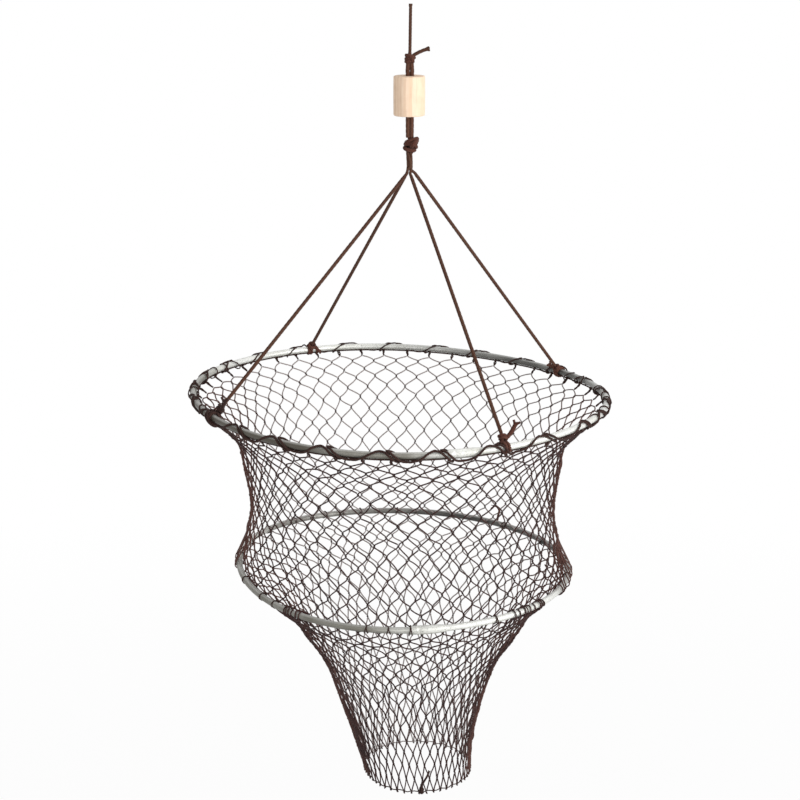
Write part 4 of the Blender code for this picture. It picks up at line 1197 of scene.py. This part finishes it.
class DROPNET_OT_rim_lacing(bpy.types.Operator):
    """Lace the net to the upper hoop"""

    bl_idname = "dropnet.rim_lacing"
    bl_label = "Rim Lacing"

    # Where net is pulled over the tube: middle azimuth, half the spread and number of loops
    LOOPS = ((178.0, 30.0, 9), (2.0, 26.0, 7))
    JITTER = 0.00015

    def execute(self, context):
        diameter = sizes().lacing_diameter
        crests = lacing_crests()
        path = smooth_route([Vector((share, phi, 0.0)) for share, phi in LACING_PATH], 3)
        rng = random.Random(8)
        points = []
        for crest, following in zip(crests, crests[1:] + [crests[0] + 360.0]):
            slack = rng.uniform(-0.02, 0.02)
            for share, phi, _ in path[:-1]:
                azimuth = crest + (following - crest) * (share + slack * math.sin(math.pi * share))
                under = math.exp(-(turn_between(phi, -95.0) / 40.0) ** 2)
                reach = self.reach(azimuth, diameter * self.thickness(azimuth))
                points.append(UPPER.round_tube(azimuth, phi, reach + under * HEAD_ROPE_DIAMETER * 0.9))
        points = [place + Vector([rng.uniform(-self.JITTER, self.JITTER) for _ in range(3)])
                  for place in points]
        builder = bmesh.new()
        lay_cords(builder, [smooth_ring(points, 2)], diameter, sizes().cord_lay * LACING_LAY, closed=True,
                  swell=lambda share: self.thickness(crests[0] + 360.0 * share))
        cord_piece("rim_lacing_cord", builder, "lacing", "upper_ring", "twine", "rim_lacing")
        self.head_rope(rng)
        self.loops(rng)
        return {"FINISHED"}

    def loops(self, rng):
        """Meshes that are pulled up over the tube where the net crowds at the hoop's two ends."""
        twine = sizes().net_twine
        routes = []
        for middle, spread, count in self.LOOPS:
            for azimuth in evenly(middle, spread, count):
                azimuth += rng.uniform(-3.5, 3.5)
                lean, slack = rng.uniform(-0.0085, 0.0085), rng.uniform(0.0002, 0.0030)
                route = []
                for step in range(14):
                    phi = -90.0 + 360.0 * step / 14
                    across = UPPER.degrees(lean * math.sin(math.radians(phi)))
                    hang = slack * (1.0 - math.sin(math.radians(phi))) / 2.0
                    route.append(UPPER.round_tube(azimuth + across, phi, HOOP_TUBE_RADIUS + twine / 2 + hang))
                routes.append(route)
        builder = bmesh.new()
        add_twines(builder, routes, twine, closed=True)
        settle(piece_from("rim_loops", builder, finish_of("lacing"), merge=1e-7), "upper_ring", "twine")

    def thickness(self, azimuth):
        """The lacing's thickness: drawn thinner at the back than at the front."""
        return 0.84 - 0.17 * math.sin(math.radians(azimuth))

    def head_rope(self, rng):
        """The cord along the underside of the hoop that carries the top meshes."""
        reach = HOOP_TUBE_RADIUS + HEAD_ROPE_DIAMETER / 2 + CLEARANCE
        points = []
        for k in range(300):
            azimuth = 1.2 * k
            wave = math.sin(math.radians(azimuth * LACING_TURNS))
            phi = HEAD_ROPE_PHI + 3.0 * wave + rng.uniform(-2.0, 2.0)
            points.append(UPPER.round_tube(azimuth, phi, reach))
        builder = bmesh.new()
        lay_cords(builder, [smooth_ring(points, 2)], HEAD_ROPE_DIAMETER, HEAD_ROPE_LAY, closed=True)
        cord_piece("head_rope", builder, "lacing", "upper_ring", "twine")

    def reach(self, azimuth, diameter):
        """How far the lacing keeps from the tube's middle, further over the socket and the hitches."""
        reach = HOOP_TUBE_RADIUS + diameter / 2
        slope = 0.006
        joint = (-73.4, 0.0150, 0.0011)
        for place, half, rise in [(place, 0.0036, 0.0021) for place in LEG_AZIMUTHS.values()] + [joint]:
            apart = abs(turn_between(azimuth, place)) * math.radians(1.0) * UPPER.radius
            reach += rise * smooth_step(1.0 - (apart - half) / slope)
        return reach


# ---------------------------------------------------------------- netting

# Radius, and the front's belly, at depths below the upper or the lower hoop; and the share of the way across
# to the bag's end that its middle has gone, at shares of its depth
WALL_OUTLINE = ((0.0044, 0.1965), (0.0200, 0.1775), (0.0420, 0.1584), (0.0740, 0.1525), (0.1150, 0.1474),
                (0.1500, 0.1535), (0.1765, 0.1571))
BAG_OUTLINE = ((0.0, 0.1571), (0.0160, 0.1445), (0.0340, 0.1242), (0.0600, 0.1082), (0.0950, 0.0866),
               (0.1400, 0.0712), (0.1850, 0.0590), (0.2177, 0.0550))
WALL_BELLY = ((0.0, 0.0), (0.0044, 0.0), (0.0200, 0.0105), (0.0420, 0.0166), (0.0740, 0.0100),
              (0.1150, 0.0030), (0.1500, 0.0), (0.1765, 0.0))
BAG_BELLY = ((0.0, 0.0), (0.0160, 0.0060), (0.0340, 0.0110), (0.0600, 0.0090), (0.0950, 0.0040),
             (0.1400, 0.0), (0.2177, 0.0))
BAG_LEAN = ((0.0, 0.0), (0.08, 0.12), (0.22, 0.45), (0.45, 0.52), (0.65, 0.58), (0.86, 0.80), (1.0, 1.0))


def smooth_pairs(pairs):
    """Pairs on a smooth curve through the given pairs."""
    return [(place.x, place.y) for place in smooth_route([Vector((a, b, 0.0)) for a, b in pairs], 10)]


class NetShape:
    """A hanging tube of netting: places on it by share of its outline's length and azimuth."""

    def __init__(self, outline, lean, belly, top, bottom):
        self.profile = smooth_pairs(outline)
        self.lean = smooth_pairs(lean) if lean else [(0.0, 0.0), (1.0, 1.0)]
        self.belly = smooth_pairs(belly)
        self.top, self.bottom = top, bottom
        levels = [(0.0, self.profile[0][0])]
        for (d0, r0), (d1, r1) in zip(self.profile, self.profile[1:]):
            levels.append((levels[-1][0] + math.hypot(d1 - d0, r1 - r0), d1))
        self.length = levels[-1][0]
        self.levels = [(passed / self.length, depth) for passed, depth in levels]

    def radius(self, share):
        return reading(self.profile, reading(self.levels, share))

    def place(self, share, azimuth):
        depth = reading(self.levels, share)
        top, bottom = self.top, self.bottom
        level = depth / (top.centre.z - bottom.centre.z)
        tilt = math.radians(top.tilt + (bottom.tilt - top.tilt) * level)
        turn = math.radians(azimuth)
        sag = reading(self.belly, depth) * max(0.0, -math.sin(turn)) ** 2
        radius = reading(self.profile, depth) + sag - self.dent(share, azimuth)
        x, y = radius * math.cos(turn), radius * math.sin(turn)
        centre = top.centre.lerp(bottom.centre, level)
        centre.x = top.centre.x + (bottom.centre.x - top.centre.x) * reading(self.lean, level)
        centre.z += top.lift(azimuth) * (1.0 - level) + bottom.lift(azimuth) * level
        return centre + Vector((x * math.cos(tilt), y, x * math.sin(tilt)))

    def dent(self, share, azimuth):
        """How far the bag's end is pressed in at its left side."""
        if self.bottom is not BAG_END:
            return 0.0
        apart = turn_between(azimuth, DENT_AZIMUTH)
        return DENT_DEPTH * smooth_step((share - 0.86) / 0.14) * math.exp(-(apart / DENT_HALF_WIDTH) ** 2)

    def axes(self, share, azimuth):
        """Along the round, outward and up the net, at a place."""
        share = min(0.995, max(0.005, share))
        along = (self.place(share, azimuth + 0.5) - self.place(share, azimuth - 0.5)).normalized()
        up = (self.place(share - 0.004, azimuth) - self.place(share + 0.004, azimuth)).normalized()
        return along, along.cross(up).normalized(), up

    def rows(self, slack, start=0.0):
        """Shares of the half rows of meshes, closer together where the net is spread wide or hangs slack."""
        columns, bar = sizes().meshes_round, sizes().mesh_bar
        shares, share = [0.0], 0.0
        while share < 1.0:
            half_width = math.pi * self.radius(min(1.0, share)) / columns
            tall = math.sqrt(max(bar * bar - half_width * half_width, 0.2 * bar * bar))
            share += tall * reading(slack, min(1.0, share)) / self.length
            shares.append(share)
        if 1.0 - shares[-2] < shares[-1] - 1.0:
            shares.pop()
        return [start + (1.0 - start) * share / shares[-1] for share in shares]


def wall_shape():
    return NetShape(WALL_OUTLINE, None, WALL_BELLY, UPPER, LOWER)


def bag_shape():
    return NetShape(BAG_OUTLINE, BAG_LEAN, BAG_BELLY, LOWER, BAG_END)


def knot_places(shape, rows, first_phase, last_phase, rng, untidy, gather=None):
    """The knots of a net, row by row, as (share, azimuth)."""
    columns = sizes().meshes_round
    step = 360.0 / columns
    last = len(rows) - 1
    sway_height = 0.0022
    drift = (last_phase - step / 2 * (last % 2) - first_phase + step / 2) % step - step / 2
    places = []
    for row, share in enumerate(rows):
        phase = first_phase + drift * row / last + step / 2 * (row % 2)
        free = math.sin(math.pi * share) ** 0.5
        radius = shape.radius(share)
        line = []
        for k in range(columns):
            azimuth = phase + step * k
            sway = sway_height * math.sin(math.radians(3.0 * azimuth) + 5.0 * share) * free
            slip = math.degrees(rng.gauss(0.0, untidy) * free / radius)
            drop = (rng.gauss(0.0, untidy) * free + sway) / shape.length
            placed = azimuth if gather is None else gather(share, azimuth)
            line.append((min(1.0, max(0.0, share + drop)), placed + slip))
        places.append(line)
    return places


def strand_routes(shape, places, twine, pull, rng):
    """Routes of the twine between knots: each leaves its knot upright and swings over to the next."""
    shares_along, beside = (0.0, 0.14, 0.38, 0.62, 0.86, 1.0), 0.40 * twine
    routes = []
    for row in range(len(places) - 1):
        upper, lower = places[row], places[row + 1]
        columns = len(upper)
        odd = row % 2
        gap = min(KNOT_HALF_HEIGHT, 0.28 * (lower[0][0] - upper[0][0]) * shape.length) / shape.length
        for k, (share, azimuth) in enumerate(upper):
            for side, target in ((-1, k - 1 + odd), (1, k + odd)):
                end_share, end_azimuth = lower[target % columns]
                end_azimuth += 360.0 * round((azimuth - end_azimuth) / 360.0)
                start_turn = azimuth + side * math.degrees(beside / shape.radius(share))
                end_turn = end_azimuth - side * math.degrees(beside / shape.radius(end_share))
                start_share, stop_share = share + gap, end_share - gap
                bow, sag = rng.gauss(0.0, 0.0005), rng.gauss(0.0, 0.0004) / shape.length
                route = []
                for t in shares_along:
                    eased = t + (smooth_step(t) - t) * pull
                    bulge = math.sin(math.pi * t)
                    here = start_share + (stop_share - start_share) * t + sag * bulge
                    turn = start_turn + (end_turn - start_turn) * eased
                    route.append(shape.place(here, turn) + outward(turn) * bow * bulge)
                routes.append(route)
    return routes


def knot_routes(shape, places, twine, rng):
    """Routes of the twine in each knot below the first row: a short upright coil round the strands."""
    coil_turns = 1.75
    routes = []
    for row, line in enumerate(places[1:], 1):
        for share, azimuth in line:
            along, out, up = shape.axes(share, azimuth)
            middle = shape.place(share, azimuth)
            lean = rng.uniform(-0.35, 0.35)
            start = rng.uniform(0.0, TAU)
            hand = 1.0 if (row % 2) else -1.0
            route = []
            for step in range(10):
                t = step / 9
                angle = start + hand * TAU * coil_turns * t
                rise = (t - 0.5) * 2.0 * (KNOT_HALF_HEIGHT - twine * 0.3)
                route.append(middle + up * rise + along * (twine * 0.36 * math.cos(angle) + lean * rise)
                             + out * twine * 0.45 * math.sin(angle))
            routes.append(route)
    return routes


def net_piece(name, routes, twine, length, finish):
    """A piece of many short twines, each about as long as the given length."""
    builder = bmesh.new()
    move_into(builder, twine_mesh(routes, twine, length))
    return piece_from(name, builder, finish, merge=1e-7)


def blend_wall(piece):
    """Bake a piece of the wall's transform into its mesh."""
    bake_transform(piece)


def blend_bag(piece):
    """Bake a piece of the bag's transform into its mesh."""
    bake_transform(piece)


def bag_gather(share, azimuth):
    """Crowd the bag's meshes at its two sides, more towards its end, as the draw cord folds them."""
    most, quickness = 0.07, 1.3
    amount = most * smooth_step(share * quickness)
    return azimuth + math.degrees(amount / 2) * math.sin(2.0 * math.radians(azimuth + 90.0))


class DROPNET_OT_net_wall(bpy.types.Operator):
    """Knot the net between the two hoops"""

    bl_idname = "dropnet.net_wall"
    bl_label = "Net Wall"

    def execute(self, context):
        twine = sizes().net_twine
        shape = wall_shape()
        rng = random.Random(17)
        rows = shape.rows(((0.0, 1.0), (0.6, 1.0), (0.9, 0.85), (1.0, 0.85)), STEM_LENGTH / shape.length)
        places = knot_places(shape, rows, UPPER_MESH_PHASE, LOWER_MESH_PHASE, rng, 0.0009)
        longer = 0.0045
        stems = [(rows[0] + longer * smooth_step(abs(math.cos(math.radians(azimuth))) * 3.0 - 2.0)
                  * rng.uniform(0.4, 1.2) / shape.length, azimuth) for _, azimuth in places[0]]
        strands = net_piece("net_wall_strands", strand_routes(shape, [stems] + places[1:], twine, 0.2, rng),
                            twine, sizes().mesh_bar, finish_of("twine"))
        knots = net_piece("net_wall_knots", knot_routes(shape, places, twine, rng), twine, twine * 7.0,
                          finish_of("net_knots"))
        for piece in (strands, knots):
            blend_wall(piece)
        label(strands, "twine", "net_wall")
        label(knots, "twine")
        self.stems(shape, stems, twine, rng)
        return {"FINISHED"}

    def stems(self, shape, stems, twine, rng):
        """The loops by which the top meshes hang on the head rope, each twisted into a short stem."""
        routes = []
        reach, overlap, twist = HEAD_ROPE_DIAMETER / 2 + twine / 2, 0.0006, 2.6
        for share, azimuth in stems:
            middle = UPPER.round_tube(azimuth, HEAD_ROPE_PHI, HOOP_TUBE_RADIUS + HEAD_ROPE_DIAMETER / 2)
            away = (middle - UPPER.round_tube(azimuth)).normalized()
            along = UPPER.sideways(azimuth)
            across = along.cross(away).normalized()
            foot = shape.place(share, azimuth) - UP * overlap
            for hand in (-1.0, 1.0):
                route = []
                for step in range(5):
                    angle = math.radians(150.0 - 37.0 * step)
                    route.append(middle + (across * hand * math.sin(angle) - away * math.cos(angle)) * -reach
                                 + along * hand * twine * 0.45)
                turn = rng.uniform(0.0, TAU)
                for step in range(1, 5):
                    t = step / 4
                    angle = turn + hand * twist * t
                    twisted = (along * math.cos(angle) + away.cross(along) * math.sin(angle)) * twine * 0.5
                    route.append(route[4].lerp(foot, t) + twisted * (hand if step < 4 else 0.0))
                routes.append(route)
        piece = net_piece("net_wall_stems", routes, twine * 1.2, 0.008, finish_of("lacing"))
        settle(piece, "upper_ring", "twine")


class DROPNET_OT_net_bag(bpy.types.Operator):
    """Knot the bag under the lower hoop"""

    bl_idname = "dropnet.net_bag"
    bl_label = "Net Bag"

    def execute(self, context):
        twine = sizes().net_twine
        shape = bag_shape()
        rng = random.Random(29)
        rows = shape.rows(((0.0, 0.72), (0.2, 0.80), (0.45, 1.0), (1.0, 1.0)))
        places = knot_places(shape, rows, LOWER_MESH_PHASE, LOWER_MESH_PHASE, rng, 0.0011, bag_gather)
        strands = net_piece("net_bag_strands", strand_routes(shape, places, twine, 0.7, rng), twine,
                            sizes().mesh_bar, finish_of("twine"))
        knots = net_piece("net_bag_knots", knot_routes(shape, places, twine, rng), twine, twine * 7.0,
                          finish_of("net_knots"))
        for piece in (strands, knots):
            blend_bag(piece)
        label(strands, "twine", "net_bag")
        label(knots, "twine")
        return {"FINISHED"}


class DROPNET_OT_lower_binding(bpy.types.Operator):
    """Tie the net to the lower hoop"""

    bl_idname = "dropnet.lower_binding"
    bl_label = "Lower Binding"

    # Azimuths of the turns that tie the net to the hoop
    WRAPS = (-145.3, -138.1, -102.1, -94.9, -87.9, -58.9, -37.3, -8.5, 5.9, 27.5, 49.1, 70.7, 92.3, 106.7,
             121.1, 135.5, 149.9, 164.3, 178.7, -159.7)
    # Where net is drawn over the hoop: middle azimuth, half the spread and number of strands
    WALL_FOLDS = ((-178.0, 6.0, 7), (-9.0, 16.0, 11))
    BAG_FOLDS = ((-129.0, 4.0, 7), (-45.0, 7.0, 8))
    # Where net lies bunched at the bag's end: middle azimuth, half the spread, and share at which it starts
    GATHERS = ((-158.0, 19.0, 0.62), (-9.0, 13.0, 0.55))
    GATHERED = 17

    def execute(self, context):
        diameter = WRAP_DIAMETER
        mouth, root, _ = JOINTS["lower_hoop"]
        rng = random.Random(31)
        builder = bmesh.new()
        routes = []
        for azimuth in self.WRAPS:
            on_socket = mouth - 0.6 < azimuth < root - 0.1
            reach = HOOP_TUBE_RADIUS + diameter / 2 + (0.0011 if on_socket else 0.0)
            half = rng.uniform(0.0010, 0.0019)
            lean = rng.uniform(-0.3, 0.3)
            route = []
            for step in range(32):
                turn = step / 16
                phi = 360.0 * turn - 90.0
                apart = 0.0005 + half * (0.5 - 0.5 * math.sin(math.radians(phi)))
                along = -apart * math.cos(math.pi * turn) + lean * diameter * math.cos(TAU * turn)
                route.append(LOWER.round_tube(azimuth + LOWER.degrees(along), phi, reach))
            routes.append(route)
        add_twines(builder, routes, diameter, sides=8, closed=True)
        settle(piece_from("lower_hoop_wraps", builder, finish_of("lacing"), merge=1e-7), "lower_ring",
               "twine", "lower_binding")
        self.tail(BINDING_TAIL_DIAMETER)
        self.folds(rng)
        return {"FINISHED"}

    def folds(self, rng):
        """Strands that are drawn over the hoop where the net folds at its two ends and at the bag's sides."""
        twine = sizes().net_twine
        wall, bag = wall_shape(), bag_shape()
        for name, places, upper in (("net_wall_folds", self.WALL_FOLDS, True),
                                    ("net_bag_folds", self.BAG_FOLDS, False)):
            routes = []
            for middle, spread, count in places:
                for azimuth in evenly(middle, spread, count):
                    azimuth += rng.uniform(-1.2, 1.2)
                    aside = azimuth + rng.uniform(-9.0, 9.0)
                    reach = HOOP_TUBE_RADIUS + twine * rng.uniform(0.5, 1.4)
                    if upper:
                        start = rng.uniform(0.78, 0.86)
                        points = [wall.place(start, aside),
                                  wall.place(start + 0.06, azimuth * 0.6 + aside * 0.4),
                                  LOWER.round_tube(azimuth, 62.0, reach + 0.0010)]
                        points += [LOWER.round_tube(azimuth, phi, reach)
                                   for phi in (20.0, -25.0, -80.0, -120.0)]
                    else:
                        end = rng.uniform(0.08, 0.17)
                        points = [LOWER.round_tube(azimuth * 0.5 + aside * 0.5, 150.0, reach)]
                        points += [LOWER.round_tube(azimuth, phi, reach) for phi in (90.0, 30.0, -25.0)]
                        points += [LOWER.round_tube(azimuth, -70.0, reach + 0.0006),
                                   bag.place(0.035, azimuth * 0.8 + aside * 0.2),
                                   bag.place(end * 0.7, (azimuth + aside) / 2), bag.place(end, aside)]
                    routes.append(smooth_route(points, 3))
            if not upper:
                routes += self.gathers(bag, rng)
            piece = net_piece(name, routes, twine, 0.03, finish_of("twine"))
            if upper:
                blend_wall(piece)
            else:
                blend_bag(piece)
            label(piece, "twine")

    def gathers(self, bag, rng):
        """Strands that lie bunched at the two sides of the bag's end, where the draw cord folds it."""
        routes = []
        for middle, spread, first in self.GATHERS:
            for k in range(self.GATHERED):
                azimuth, end = middle + rng.uniform(-spread, spread), rng.uniform(0.85, 0.99)
                start = rng.uniform(first, first + 0.2)
                wander = rng.uniform(-9.0, 9.0)
                points = [bag.place(start + (end - start) * t, azimuth + wander * math.sin(3.0 * t + k))
                          for t in (0.0, 0.2, 0.4, 0.6, 0.8, 1.0)]
                routes.append(smooth_route(points, 2))
        return routes

    def tail(self, diameter):
        """The binding's loose end, which stands up inside the hoop and hooks over."""
        foot = LOWER.round_tube(BINDING_TAIL_AZIMUTH, 90.0, HOOP_TUBE_RADIUS + diameter / 2)
        inward = -outward(BINDING_TAIL_AZIMUTH)
        across = LOWER.sideways(BINDING_TAIL_AZIMUTH)
        rise = UP * 0.020
        route = [foot] + [foot + inward * inside + across * aside + rise * share
                          for inside, aside, share in ((0.001, -0.001, 0.15), (0.006, -0.005, 0.4),
                                                       (0.010, -0.009, 0.8), (0.011, -0.006, 1.0),
                                                       (0.011, -0.002, 0.96))]
        route = smooth_route(route, 5)
        builder = bmesh.new()
        lay_cords(builder, [route], diameter * 1.6, BINDING_TAIL_LAY)
        frayed_end(builder, route, diameter, random.Random(2))
        cord_piece("binding_tail_twine", builder, "knots", "lower_ring", "twine", "binding_tail")


class DROPNET_OT_draw_cord(bpy.types.Operator):
    """Make the draw cord in the bag's end, with its knot and tail"""

    bl_idname = "dropnet.draw_cord"
    bl_label = "Draw Cord"

    TURNS = (((0.0, 0.0, 0.0018), (0.3, 0.1, 1.0), 0.0017, 0.0016),
             ((0.0, 0.0, 0.0), (-0.3, 0.1, 1.0), 0.0018, 0.0017),
             ((0.0, 0.0, -0.0018), (0.2, -0.2, 1.0), 0.0016, 0.0016))
    KNOT_HALF = 0.0036

    def execute(self, context):
        diameter = DRAW_CORD_DIAMETER
        self.ring(diameter * 0.7)
        self.knot(diameter)
        self.tail(diameter)
        return {"FINISHED"}

    def around(self, azimuth, out, rise):
        """A place by the bag's end ring, further out and higher by the given amounts."""
        turn = math.radians(azimuth)
        reach = BAG_END.radius + out
        return BAG_END.centre + UP * rise + Vector((reach * math.cos(turn), reach * math.sin(turn), 0.0))

    def knot_centre(self):
        return self.around(DRAW_KNOT_AZIMUTH, out=0.0010, rise=0.0030)

    def ring(self, diameter):
        """The cord, which passes out and in through the last meshes."""
        weave, height, uneven = 0.0009, 0.0012, 0.0003
        count = sizes().meshes_round * 4
        rng = random.Random(41)
        bag = bag_shape()
        points = []
        for k in range(count):
            azimuth = DRAW_KNOT_AZIMUTH + 360.0 * k / count
            out = weave * math.cos(math.pi * k / 4.0) - bag.dent(1.0, azimuth)
            points.append(self.around(azimuth, out, height + rng.uniform(-uneven, uneven)))
        builder = bmesh.new()
        lay_cords(builder, [smooth_ring(points, 2)], diameter, DRAW_CORD_LAY, closed=True)
        cord_piece("draw_cord_ring", builder, "draw", "end_ring", "twine", "draw_cord")

    def knot(self, diameter):
        centre = self.knot_centre()
        core = [centre - UP * self.KNOT_HALF, centre, centre + UP * 0.0060]
        builder = bmesh.new()
        lay_cords(builder, knot_turns(centre, self.TURNS, 12), diameter * 1.15, 0.005, closed=True)
        lay_cords(builder, [core], diameter * 1.9, 0.006)
        cord_piece("draw_knot_turns", builder, "lacing", "end_ring", "knot", "draw_knot")

    def tail(self, diameter):
        """The cord's cut end, which leans up and to the right in front of the bag."""
        foot, out = self.knot_centre() + UP * self.KNOT_HALF, outward(DRAW_KNOT_AZIMUTH)
        route = [foot] + [foot + out * reach + Vector((aside, 0.0, height))
                          for reach, aside, height in ((0.0009, 0.0004, 0.0030), (0.0040, 0.0024, 0.0090),
                                                       (0.0056, 0.0050, 0.0150), (0.0060, 0.0066, 0.0200))]
        route = smooth_route(route, 5)
        builder = bmesh.new()
        lay_cords(builder, [route], diameter * 1.4, DRAW_CORD_LAY)
        frayed_end(builder, route, diameter, random.Random(4), length=0.002)
        cord_piece("draw_cord_end", builder, "lacing", "end_ring", "twine", "draw_cord_tail")


# ---------------------------------------------------------------- add-on

OPERATORS = (DROPNET_OT_stage, DROPNET_OT_haul_line, DROPNET_OT_strop, DROPNET_OT_wooden_float,
             DROPNET_OT_bridle, DROPNET_OT_hitches, DROPNET_OT_hoops, DROPNET_OT_rim_lacing,
             DROPNET_OT_net_wall, DROPNET_OT_lower_binding, DROPNET_OT_net_bag, DROPNET_OT_draw_cord)


class DROPNET_PT_pieces(bpy.types.Panel):
    """Lists the net's sizes, colours and pieces"""

    bl_label = "Drop Net"
    bl_idname = "DROPNET_PT_pieces"
    bl_space_type = "VIEW_3D"
    bl_region_type = "UI"
    bl_category = "Drop Net"

    def draw(self, context):
        for group in (context.scene.drop_net_sizes, context.scene.drop_net_colours):
            box = self.layout.box()
            for name in group.__annotations__:
                box.prop(group, name)
        for operator in OPERATORS:
            self.layout.operator(operator.bl_idname)


CLASSES = (DropNetSizes, DropNetColours, *OPERATORS, DROPNET_PT_pieces)


def register():
    for made in CLASSES:
        bpy.utils.register_class(made)
    bpy.types.Scene.drop_net_sizes = PointerProperty(type=DropNetSizes)
    bpy.types.Scene.drop_net_colours = PointerProperty(type=DropNetColours)


def unregister():
    del bpy.types.Scene.drop_net_colours
    del bpy.types.Scene.drop_net_sizes
    for made in reversed(CLASSES):
        bpy.utils.unregister_class(made)


def main():
    register()
    for operator in OPERATORS:
        group, name = operator.bl_idname.split(".")
        getattr(getattr(bpy.ops, group), name)()


if __name__ == "__main__":
    main()
